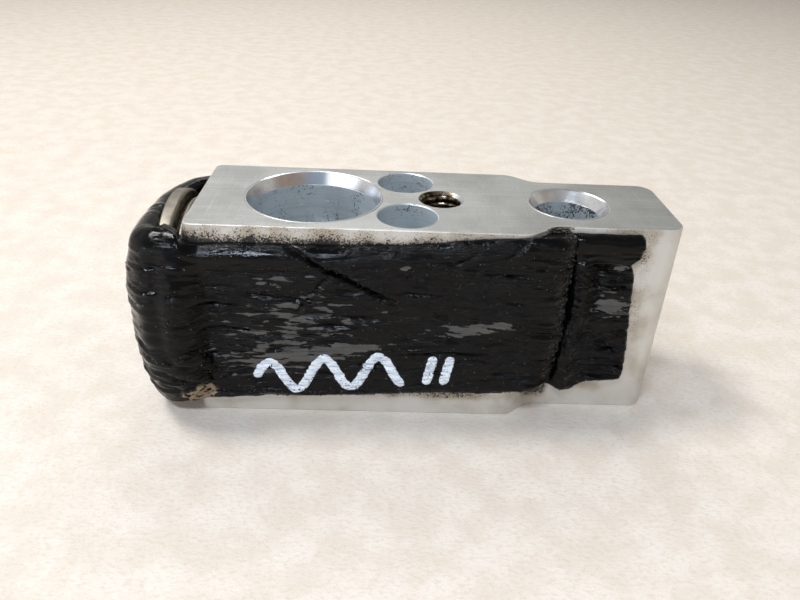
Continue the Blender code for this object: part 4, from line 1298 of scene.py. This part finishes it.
GATHERED_CREASES = [
    [(-3.5, 12.5), (-1.0, 10.8), (1.5, 8.2), (2.6, 6.2)],
    [(-4.0, 10.0), (-1.5, 8.6), (0.2, 7.0), (0.9, 5.8)],
    [(-0.5, 13.2), (2.0, 11.2), (4.0, 8.4), (5.0, 5.6)],
    [(-4.5, 8.0), (-2.4, 6.6), (-1.0, 4.6)],
]


def wrap_grid(tape):
    """The wrap's adhesive side, its path lengths, and how far up its width each point is and it reaches."""
    step = tape.grid / MM
    counts = piece_counts(WRAP_MIDDLE, step * 2)
    middle, high, low = (resampled(c, counts, 2.6) for c in (WRAP_MIDDLE, WRAP_HIGH, WRAP_LOW))
    run = np.concatenate([[0], np.cumsum(np.hypot(*(middle[1:] - middle[:-1]).T))])
    station, across = middle.T
    front = across < 0
    top = along(TOP_EDGE, station) + 0.18 * layered(run / 4, run * 0, 3)
    top = top + 0.06 * layered(run / 0.8, run * 0, 4)
    top = np.where(front, top, np.minimum(top, 28.2))
    bottom = along(LOW_EDGE, station) + 0.12 * layered(run / 3, run * 0, 5)
    bottom += 0.10 * layered(run / 0.7, run * 0, 6) * (1 + 2 * smoothstep(44, 51, station))
    bottom += 0.5 * bump(0.4, 1.5, station) * front
    head = smoothstep(1.0, -2.0, station)
    lip = head * 1.2 + front * 2.0 * bump(-3.6, 2.6, station)
    columns = int(27 / step)
    share = np.linspace(0, 1, columns)
    ease = share + 0.35 * np.sin(2 * np.pi * share) / (-2 * np.pi)
    reach = (top - bottom)[:, None] + lip[:, None]
    v = reach * ease[None, :]
    bend, steepest = 1.3, np.radians(78) * np.clip(lip, 0, 1)[:, None]
    rise = (top - bottom)[:, None] - bend * np.clip(lip, 0, 1)[:, None]
    angle = np.clip((v - rise) / bend, 0, steepest)
    past = np.clip(v - rise - bend * steepest, 0, None)
    z = bottom[:, None] + np.minimum(v, rise) + bend * np.sin(angle) + past * np.cos(steepest)
    z = np.where(lip[:, None] < 0.02, bottom[:, None] + v, z)
    inward = bend * (1 - np.cos(angle)) + past * np.sin(steepest)
    inward = np.where(lip[:, None] < 0.02, 0, inward)
    up = (np.clip((z - 19.0) / 9.3, 0, 1) ** 1.6)[..., None]
    down = (np.clip((12.0 - z) / 9.0, 0, 1) ** 1.6)[..., None]
    plan = middle[:, None] * (1 - up - down) + high[:, None] * up + low[:, None] * down
    slope = np.gradient(plan, axis=0)
    outward = np.stack([slope[..., 1], -slope[..., 0]], axis=-1)
    outward /= np.maximum(np.linalg.norm(outward, axis=2, keepdims=True), 1e-9)
    outward *= np.sign(np.sum(outward * (plan - (10.0, 0.0)), axis=2, keepdims=True))
    plan = plan - outward * inward[..., None]
    tear = 0.5 * layered(z / 2.2, z * 0, 8, 3) - 0.3
    shift = (tear - 0.9 * smoothstep(15, 5, z)) * smoothstep(44, 53, plan[..., 0])
    plan[..., 0] += shift
    base = np.concatenate([plan, z[..., None]], axis=2)
    return base, run, reach, v


def wrap_relief(base, run, side):
    """The height of the wrinkles and creases on the wrap, and how far its film is scuffed."""
    x, y, z = base[..., 0], base[..., 1], base[..., 2]
    s = np.broadcast_to(run[:, None], x.shape)
    front = y < -8
    corner = bump(-3, 6, x)
    rough = 1 + 0.15 * corner + 0.8 * bump(50, 4, x) + 0.6 * bump(6, 7, x) * bump(8, 6, z)
    relief = striations(s, z, 11, 1.7 * rough)
    relief += pinches(s, z, ((0, run[-1]), (4, 27)), 170, 5, 0.36)
    relief += pinches(s, z, ((42, 64), (3, 14)), 34, 6, 0.34)
    relief += pinches(s, z, ((50, 62), (14, 28)), 14, 7, 0.28)
    folds = crease(x, z, MAIN_CREASE, 0.95, 0.46, 1.0)
    folds += crease(x, z, BRANCH_CREASE, 0.55, 0.26, 0.3)
    folds += crease(x, z, OVERLAP_CREASE, 0.35, 0.16, 0.6)
    folds += crease(x, z, SMALL_CREASE, 0.3, 0.2, 0.4)
    for line in LEVEL_CREASES:
        folds += crease(x, z, line, 0.60, 0.32, 0.5)
    gathers = sum(crease(x, z, line, 0.32, 0.36, 0.35) for line in GATHERED_CREASES)
    relief += np.where(front & (x > 0), folds, 0) + np.where(front, gathers, 0)
    relief -= 0.5 * bump(-3.4, 0.9, x) * smoothstep(10, 15, z) * smoothstep(28.5, 25, z) * front
    relief += 0.35 * bump(-6.2, 1.5, x) * bump(22, 5, z) * front
    band = 0.85 * bump(15, 13, x) * bump(17, 7, z) + 0.7 * bump(10, 8, x) * bump(10, 3, z)
    band += 1.5 * bump(41, 6.5, x) * bump(16.8 + 0.15 * (x - 41), 1.1, z)
    band += 1.3 * bump(21, 7, x) * bump(12.4 + 0.17 * (x - 22), 0.9, z)
    band += 0.6 * bump(12, 4, x) * bump(24, 1.4, z)
    smear = np.clip(band, 0, 1.2) * front
    smear = np.maximum(smear, 1.1 * bump(30.2, 1.0, x) * bump(26.0, 0.65, z) * front)
    smear = np.maximum(smear, ~front * 0.7 * bump(20, 18, x) * bump(16, 7, z))
    fibres = smoothstep(-0.5, 0.1, layered(s / 0.9, z / 0.35, 41, 3))
    torn = 1.2 * bump(0.6, 2.8, x) * bump(4.7, 2.0, z) * front * fibres
    return relief * side, smear, torn


class VALVE_OT_tape_wrap(bpy.types.Operator):
    """Press the insulation tape round the head and along the block"""

    bl_idname = "valve.tape_wrap"
    bl_label = "Tape round the head"

    def execute(self, context):
        tape = context.scene.valve_tape
        base, run, reach, v = wrap_grid(tape)
        ends = np.minimum(run, run[-1] - run)[:, None]
        profile = edge_profile(v, 1.0) * edge_profile(reach - v, 2.3) * edge_profile(ends, 0.8)
        relief, smear, torn = wrap_relief(base, run, tape.wrinkles)
        station, front = base[..., 0], base[..., 1] < 0
        rolled = bump(1.5, 1.1, reach - v) * (0.25 + 0.75 * bump(5, 8, station)) * front
        relief = relief * (1 - 0.6 * rolled) + 0.6 * rolled
        relief *= 1 - 0.75 * bump(0, 3.5, reach - v) * smoothstep(3, 0, station)
        thickness = (tape.thickness / MM + relief) * profile
        outer = raised(base, np.maximum(thickness, 0.06))
        rolled = np.maximum(rolled, bump(-5, 4, station) * 0.7)
        rolled = np.maximum(rolled, 0.95 * smoothstep(20, 26, base[..., 2]) * smoothstep(3, 0, station))
        mesh = strip_mesh(base, outer, {"smear": smear, "torn": torn, "rolled": rolled})
        TAPE_GRID["outer"] = outer
        material = butyl_tape(tape)
        finished("tape_round_head", mesh, "valve_body", material, cad=["tape_wrap"], slot="butyl_tape")
        return {"FINISHED"}


TAPE_GRID = {}  # the wrap's outer side, for what lies on it

# The front tail's ragged end, as (height, station), and the groove across it
TAIL_RIGHT = [
    (4.5, 64.6),
    (8.0, 65.1),
    (11.7, 64.9),
    (15.3, 64.5),
    (18.7, 64.1),
    (22.1, 63.7),
    (23.7, 63.6),
    (26.1, 62.9),
    (27.0, 63.9),
    (28.5, 64.3),
    (29.8, 64.0),
    (31.0, 62.6),
]
TAIL_LOW_EDGE = [(48.6, 5.4), (53.0, 4.4), (55.5, 3.7), (57.3, 3.7), (58.2, 4.4), (59.5, 5.3), (62.0, 5.4)]
TAIL_LOW_EDGE += [(65.0, 5.6)]


def tail_grid(side, seed):
    """The tail patch's adhesive side on the narrow part of the block, with its ragged outline."""
    columns, rows = 132, 90
    share = np.linspace(0, 1, columns)
    ease = (share + 0.35 * np.sin(2 * np.pi * share) / (-2 * np.pi))[None, :]
    way = np.linspace(0, 1, rows)[:, None]
    nominal = 48.6 + 16.0 * way
    high = (30.25 if side < 0 else 28.6) + 0.10 * layered(nominal / 1.5, nominal * 0, seed)
    low = along(TAIL_LOW_EDGE, nominal) + 0.16 * layered(nominal / 0.8, nominal * 0, seed + 1)
    z = low + (high - low) * ease
    left = 48.6 + 0.25 * layered(z / 1.6, z * 0, seed + 2)
    right = along(TAIL_RIGHT, z) + 0.18 * layered(z / 0.8, z * 0, seed + 3)
    x = left + (right - left) * way
    flat = TAIL_HIGH.y / -MM
    y = np.full(x.shape, side * np.maximum(flat, SIDE - 0.05 - (x - 47.4) * 0.83))
    return np.stack([x, y, z], axis=2), way, (right - left), np.minimum(z - low, high - z)


GROOVE = [(4, 53.5), (8, 53.6), (12.2, 53.4), (16.7, 54.1), (20.1, 54.2), (23.4, 53.9), (26.3, 53.5)]
GROOVE += [(31, 53.2)]


class VALVE_OT_tape_tails(bpy.types.Operator):
    """Press the tape's loose ends on the narrow part of the block"""

    bl_idname = "valve.tape_tails"
    bl_label = "Tape ends"

    def execute(self, context):
        tape = context.scene.valve_tape
        material = bpy.data.materials["butyl_film"]
        for name, node, side, seed in (
            ("tape_end_front", "tape_tail_front", -1, 60),
            ("tape_end_back", "tape_tail_back", 1, 80),
        ):
            base, way, span, edge = tail_grid(side, seed)
            x, z = base[..., 0], base[..., 2]
            relief = striations(x, z, seed, 2.0) + pinches(x, z, ((56, 64), (6, 28)), 44, seed, 0.4)
            groove = along(GROOVE, z) + 0.2 * layered(z / 1.1, z * 0, seed + 12)
            relief += 0.75 * bump(groove + 2.2, 0.9, x) - 0.35 * bump(groove + 4.4, 0.8, x) * bump(21, 8, z)
            relief *= 1 - 0.6 * smoothstep(25, 28, z)
            relief += 0.3 * bump(61, 3, x) * bump(28.0, 1.5, z)
            bared = 0.8 * smoothstep(1.0, 0.1, x - groove)
            gum = np.clip(SIDE - 0.6 - np.abs(base[..., 1]), 0, None) * smoothstep(53.0, 51.0, x)
            ends = np.minimum(way, 1 - way) * span
            thickness = (tape.thickness / MM - 0.1 + relief * tape.wrinkles) * (1 - bared) + gum
            thickness = thickness * edge_profile(edge, 1.1)
            thickness = np.maximum(thickness * edge_profile(ends, 0.7), 0.06)
            flecks = layered(x / 3.5, z / 1.0, seed + 9, 3)
            smear = 1.25 * bump(61, 3.0, x) * bump(19.2, 2.8, z) * smoothstep(-0.6, 0.0, flecks)
            smear = np.maximum(smear, 0.7 * bump(61, 3, x) * bump(24, 4, z))
            rolled = 0.9 * smoothstep(24.5, 27.5, z)
            if side < 0:  # the front's rows run the other way, so that its normals point out
                base, thickness, smear, rolled = base[::-1], thickness[::-1], smear[::-1], rolled[::-1]
            mesh = strip_mesh(base, raised(base, thickness), {"smear": smear, "rolled": rolled})
            finished(name, mesh, "valve_body", material, cad=[node], slot="butyl_tape")
        return {"FINISHED"}


def on_tape(x, z, lift):
    """The point on the wrap's front at a station and height, lifted off it."""
    grid = TAPE_GRID["outer"]
    column = grid.shape[1] // 2
    stations = grid[:, column, 0]
    i = int(np.argmin(np.abs(stations[: grid.shape[0] // 3] - x)))
    near = grid[i : i + 2]
    j = int(np.clip(np.searchsorted(near[0, :, 2], z), 1, grid.shape[1] - 1))
    a, b = near[0, j - 1], near[0, j]
    share = np.clip((z - a[2]) / max(b[2] - a[2], 1e-6), 0, 1)
    point = a + (b - a) * share
    return Vector((x, point[1] - lift, z))


class VALVE_OT_paint(bpy.types.Operator):
    """Draw the plain paint marks on the tape's front"""

    bl_idname = "valve.paint"
    bl_label = "Paint marks"

    def execute(self, context):
        settings = context.scene.valve_paint
        material = marker_paint(settings)
        wave = []
        steps, half_waves = 160, 5.5
        for i in range(steps + 1):
            t = i / steps
            wave.append((9.0 + 22.0 * t, 7.3 + 1.9 * t + 2.6 * math.sin(t * half_waves * math.pi)))
        dashes = [[(34.2 + 1.5 * k + 0.9 * t / 20, 6.6 + 5.2 * t / 20) for t in range(21)] for k in (0, 1.7)]
        for number, line in enumerate([wave, *dashes]):
            mesh = self.stroke(line, settings, number)
            finished(f"paint_mark_{number + 1}", mesh, "valve_body", material)
        return {"FINISHED"}

    def stroke(self, line, settings, seed):
        """A ribbon of paint that follows the wrinkles, with soft uneven sides and round ends."""
        line = np.array(line)
        runs = np.concatenate([[0], np.cumsum(np.hypot(*(line[1:] - line[:-1]).T))])
        count = max(12, int(runs[-1] / 0.16))
        at = np.linspace(0, runs[-1], count)
        centre = np.stack([np.interp(at, runs, line[:, k]) for k in (0, 1)], axis=1)
        slope = np.gradient(centre, axis=0)
        slope /= np.linalg.norm(slope, axis=1, keepdims=True)
        half = settings.width / MM / 2
        ends = np.sqrt(np.clip(1 - (1 - np.clip(np.minimum(at, runs[-1] - at) / half, 0, 1)) ** 2, 0.03, 1))
        bm = bmesh.new()
        across = 9
        grids = []
        for lift in (settings.film / MM, -0.02):
            rows = []
            for i in range(count):
                wide = half * ends[i] * (1 + 0.09 * math.sin(i * 0.9 + seed) * math.sin(i * 0.37))
                row = []
                for k in range(across):
                    offset = wide * (2 * k / (across - 1) - 1)
                    x = centre[i, 0] - slope[i, 1] * offset
                    z = centre[i, 1] + slope[i, 0] * offset
                    edge = 1 - abs(2 * k / (across - 1) - 1) ** 4
                    point = on_tape(x, z, lift * edge if lift > 0 else lift)
                    row.append(bm.verts.new(point * MM + Vector((HEAD_END, 0, 0))))
                rows.append(row)
            grids.append(rows)
        top, under = grids
        for i in range(count - 1):
            for k in range(across - 1):
                bm.faces.new((top[i][k], top[i][k + 1], top[i + 1][k + 1], top[i + 1][k]))
                bm.faces.new((under[i][k], under[i + 1][k], under[i + 1][k + 1], under[i][k + 1]))
            for k in (0, across - 1):
                bm.faces.new((top[i][k], top[i + 1][k], under[i + 1][k], under[i][k]))
        for i in (0, count - 1):
            for k in range(across - 1):
                bm.faces.new((top[i][k], under[i][k], under[i][k + 1], top[i][k + 1]))
        bmesh.ops.recalc_face_normals(bm, faces=bm.faces)
        return smooth(to_mesh(bm), 80)


# Grit


def grit_tree():
    """Geometry nodes that scatter small crumbs on a surface, by its density attribute."""
    tree, given = new_group(
        "grit", Geometry="Geometry", Amount="Float", Smallest="Float", Largest="Float", Seed="Int"
    )
    share = add_node(tree, "GeometryNodeInputNamedAttribute", {"Name": "grit"}, data_type="FLOAT")
    inputs = {0: share.outputs["Attribute"], 1: given["Amount"]}
    density = add_node(tree, "ShaderNodeMath", inputs, operation="MULTIPLY")
    points = add_node(
        tree,
        "GeometryNodeDistributePointsOnFaces",
        {"Mesh": given["Geometry"], "Density": density.outputs[0], "Seed": given["Seed"]},
    )
    crumb = add_node(tree, "GeometryNodeMeshIcoSphere", {"Radius": 1.0, "Subdivisions": 1})
    size = add_node(
        tree,
        "FunctionNodeRandomValue",
        {2: given["Smallest"], 3: given["Largest"], "Seed": given["Seed"]},
        data_type="FLOAT",
    )
    full_turn, proportions = (6.28, 6.28, 6.28), (1.3, 0.8, 0.55)
    turn = add_node(tree, "FunctionNodeRandomValue", {0: (0, 0, 0), 1: full_turn}, data_type="FLOAT_VECTOR")
    inputs = {0: proportions, "Scale": size.outputs[1]}
    flat = add_node(tree, "ShaderNodeVectorMath", inputs, operation="SCALE")
    scattered = add_node(
        tree,
        "GeometryNodeInstanceOnPoints",
        {
            "Points": points.outputs["Points"],
            "Instance": crumb.outputs[0],
            "Rotation": turn.outputs[0],
            "Scale": flat.outputs[0],
        },
    )
    return closed_group(tree, given, scattered)


def set_density(mesh, rule):
    """A copy of the mesh with the rule's share of grit at each point."""
    copy = mesh.copy()
    count = len(copy.vertices)
    co = np.zeros(count * 3, np.float32)
    copy.vertices.foreach_get("co", co)
    x, y, z = co.reshape(-1, 3).T / MM
    values = rule(x - HEAD_END / MM, y, z).astype(np.float32)
    copy.attributes.new("grit", "FLOAT", "POINT").data.foreach_set("value", values)
    return copy


def tar_by_tape(x, y, z):
    """Most of the crumbs lie by the tape's seam and along its lower edge."""
    seam = bump(53.2, 0.7, x) * (z > 3)
    hem = bump(4.6, 0.7, z) * (x > 0) * 0.4
    return (seam + hem + 0.02) * (np.abs(y) > 6)


class VALVE_OT_grit(bpy.types.Operator):
    """Scatter tar crumbs and dust along the tape's seam and edges"""

    bl_idname = "valve.grit"
    bl_label = "Grit"

    def execute(self, context):
        tar = plain_finish("tar_crumbs", "#121110", "#2a2723", 0.2, 0.02, 0.0, 0.5)
        lint = plain_finish("white_lint", "#b9b8b2", "#8f8d86", 0.2, 0.02, 0.0, 0.8)
        tree = grit_tree()
        crumbs = (
            ("seam_crumbs", "tape_round_head", tar, tar_by_tape, 5e6, 0.06, 0.22, 3),
            ("tail_crumbs", "tape_end_front", tar, tar_by_tape, 6e6, 0.06, 0.17, 4),
            ("lint_specks", "tape_round_head", lint, lambda x, y, z: np.ones(x.shape), 8e4, 0.03, 0.07, 5),
        )
        for name, source, material, rule, amount, small, large, seed in crumbs:
            values = {"Amount": amount, "Smallest": small * MM, "Largest": large * MM, "Seed": seed}
            values["Finish"] = material
            mesh = from_nodes(tree, values, set_density(bpy.data.objects[source].data, rule))
            finished(name, mesh, "valve_body")
        return {"FINISHED"}


# Stage


def area_light(name, place, target, size, power, code):
    """A rectangular soft light whose long side lies along X."""
    light = bpy.data.lights.new(name, "AREA")
    light.shape, light.size, light.size_y, light.energy = "RECTANGLE", *size, power
    light.color = linear(code)[:3]
    item = placed(name, light)
    item.location = place
    item.rotation_euler = (Vector(target) - Vector(place)).to_track_quat("-Z", "Y").to_euler()


class VALVE_OT_stage(bpy.types.Operator):
    """Set the floor, the soft light and the camera"""

    bl_idname = "valve.stage"
    bl_label = "Stage"

    def execute(self, context):
        stage, scene = context.scene.valve_stage, context.scene
        self.make_floor(stage)
        self.make_world(scene)
        area_light("window_light", (-0.26, 0.06, 0.52), (0, 0, 0.01), (0.14, 0.14), 1.8, "#fffdf8")
        area_light("ceiling_tube", (-0.10, -0.26, 0.40), (0, 0, 0.02), (0.20, 0.014), 1.25, "#e2edff")
        area_light("far_light", (-0.05, 0.42, 0.50), (-0.02, 0.36, 0), (0.3, 0.3), 0.95, "#fffdf8")
        camera = placed("camera", bpy.data.cameras.new("camera"))
        right = Vector((0.99894, -0.01616, 0.04300))
        up = Vector((-0.02922, 0.49877, 0.86623))
        back = -Vector((0.03545, 0.86658, -0.49777))
        turn = Matrix((right, up, back)).transposed()
        camera.matrix_world = Matrix.Translation(stage.camera_place) @ turn.to_4x4()
        camera.data.lens, camera.data.sensor_width = stage.lens, 36.0
        camera.data.clip_start = 0.005
        scene.camera = camera
        scene.view_settings.view_transform = "Standard"
        return {"FINISHED"}

    def make_floor(self, stage):
        """Pale board with a soft, barely visible fibre mottle."""
        bm = bmesh.new()
        bmesh.ops.create_grid(bm, x_segments=2, y_segments=2, size=1.5)
        item = placed("floor", to_mesh(bm))
        material, tree, shader, place = new_material("pale_board", Roughness=0.75)
        cloud = pattern(tree, place, 6, 4.0, 0.6)
        fibre = pattern(tree, place, (0.9, 0.5, 1), 4.0, 0.65)
        tone = tinted(
            tree,
            stage.floor,
            ("#dbcfc1", (cloud, 0.35, 0.65, 0.0, 0.8)),
            ("#cfc0ad", (fibre, 0.45, 0.7, 0.0, 0.5)),
            ("#a58f76", (speckle(tree, place, 0.6, 1.02), 0.0, 1.0, 0.0, 0.5)),
        )
        join(tree, shader, [(fibre, 0.10)], Base_Color=tone)
        item.data.materials.append(material)

    def make_world(self, scene):
        """A soft room: greyer overhead, with bright panes low in front on the left and shade beside them."""
        world = bpy.data.worlds.new("soft_room")
        world.use_nodes = True
        tree = world.node_tree
        sky = tree.nodes["Background"]
        look = add_node(tree, "ShaderNodeTexCoord").outputs["Generated"]
        split = add_node(tree, "ShaderNodeSeparateXYZ", {0: look})
        across, deep, up = split.outputs
        front = zone(tree, (deep, -0.4, 0.0, 1.0, 0.0), (up, 0.30, 0.60, 1.0, 0.0))
        ahead = tinted(
            tree,
            linear("#b2c5da"),
            ("#cdb9ab", (across, 0.15, 0.6)),
            ("#f7faff", (across, -0.35, -0.15, 1.0, 0.0)),
        )
        tone = tinted(tree, linear("#f6f3ed"), (ahead, front), ("#858e99", (up, 0.35, 0.95)))
        inputs = {"Factor": 1.0, 6: tone, 7: linear("#d8d5d0")}
        shaded = add_node(tree, "ShaderNodeMix", inputs, data_type="RGBA", blend_type="MULTIPLY").outputs[2]
        tone = tinted(tree, tone, (shaded, (across, -0.9, 0.9)))
        panes = zone(tree, front, (across, -0.38, -0.22, 1.0, 0.0))
        glow = add_node(tree, "ShaderNodeMath", {0: panes, 1: 0.9, 2: 0.8}, operation="MULTIPLY_ADD")
        tree.links.new(tone, sky.inputs["Color"])
        tree.links.new(glow.outputs[0], sky.inputs["Strength"])
        scene.world = world


# Add-on


class VALVE_PT_parts(bpy.types.Panel):
    """The valve's pieces, in the order in which they are built"""

    bl_label = "Expansion valve"
    bl_idname = "VALVE_PT_parts"
    bl_space_type = "VIEW_3D"
    bl_region_type = "UI"
    bl_category = "Valve"

    def draw(self, context):
        for operator in STEPS:
            self.layout.operator(operator.bl_idname)
        for name in SETTINGS:
            group = getattr(context.scene, name)
            column = self.layout.column(align=True)
            column.label(text=name.replace("_", " ").capitalize())
            for prop in group.bl_rna.properties:
                if prop.identifier not in ("rna_type", "name"):
                    column.prop(group, prop.identifier)


STEPS = (
    VALVE_OT_block,
    VALVE_OT_screw,
    VALVE_OT_threads,
    VALVE_OT_head,
    VALVE_OT_inner_parts,
    VALVE_OT_tape_wrap,
    VALVE_OT_tape_tails,
    VALVE_OT_paint,
    VALVE_OT_grit,
    VALVE_OT_stage,
)
SETTINGS = {
    "valve_block": BlockSettings,
    "valve_head": HeadSettings,
    "valve_tape": TapeSettings,
    "valve_paint": PaintSettings,
    "valve_metal": MetalSettings,
    "valve_stage": StageSettings,
}


def register():
    for group in SETTINGS.values():
        bpy.utils.register_class(group)
    for name, group in SETTINGS.items():
        setattr(bpy.types.Scene, name, bpy.props.PointerProperty(type=group))
    for item in (*STEPS, VALVE_PT_parts):
        bpy.utils.register_class(item)


def unregister():
    for item in (VALVE_PT_parts, *reversed(STEPS)):
        bpy.utils.unregister_class(item)
    for name, group in SETTINGS.items():
        delattr(bpy.types.Scene, name)
        bpy.utils.unregister_class(group)


def main():
    register()
    bpy.ops.valve.block()
    bpy.ops.valve.screw()
    bpy.ops.valve.threads()
    bpy.ops.valve.head()
    bpy.ops.valve.inner_parts()
    bpy.ops.valve.tape_wrap()
    bpy.ops.valve.tape_tails()
    bpy.ops.valve.paint()
    bpy.ops.valve.grit()
    bpy.ops.valve.stage()


if __name__ == "__main__":
    main()
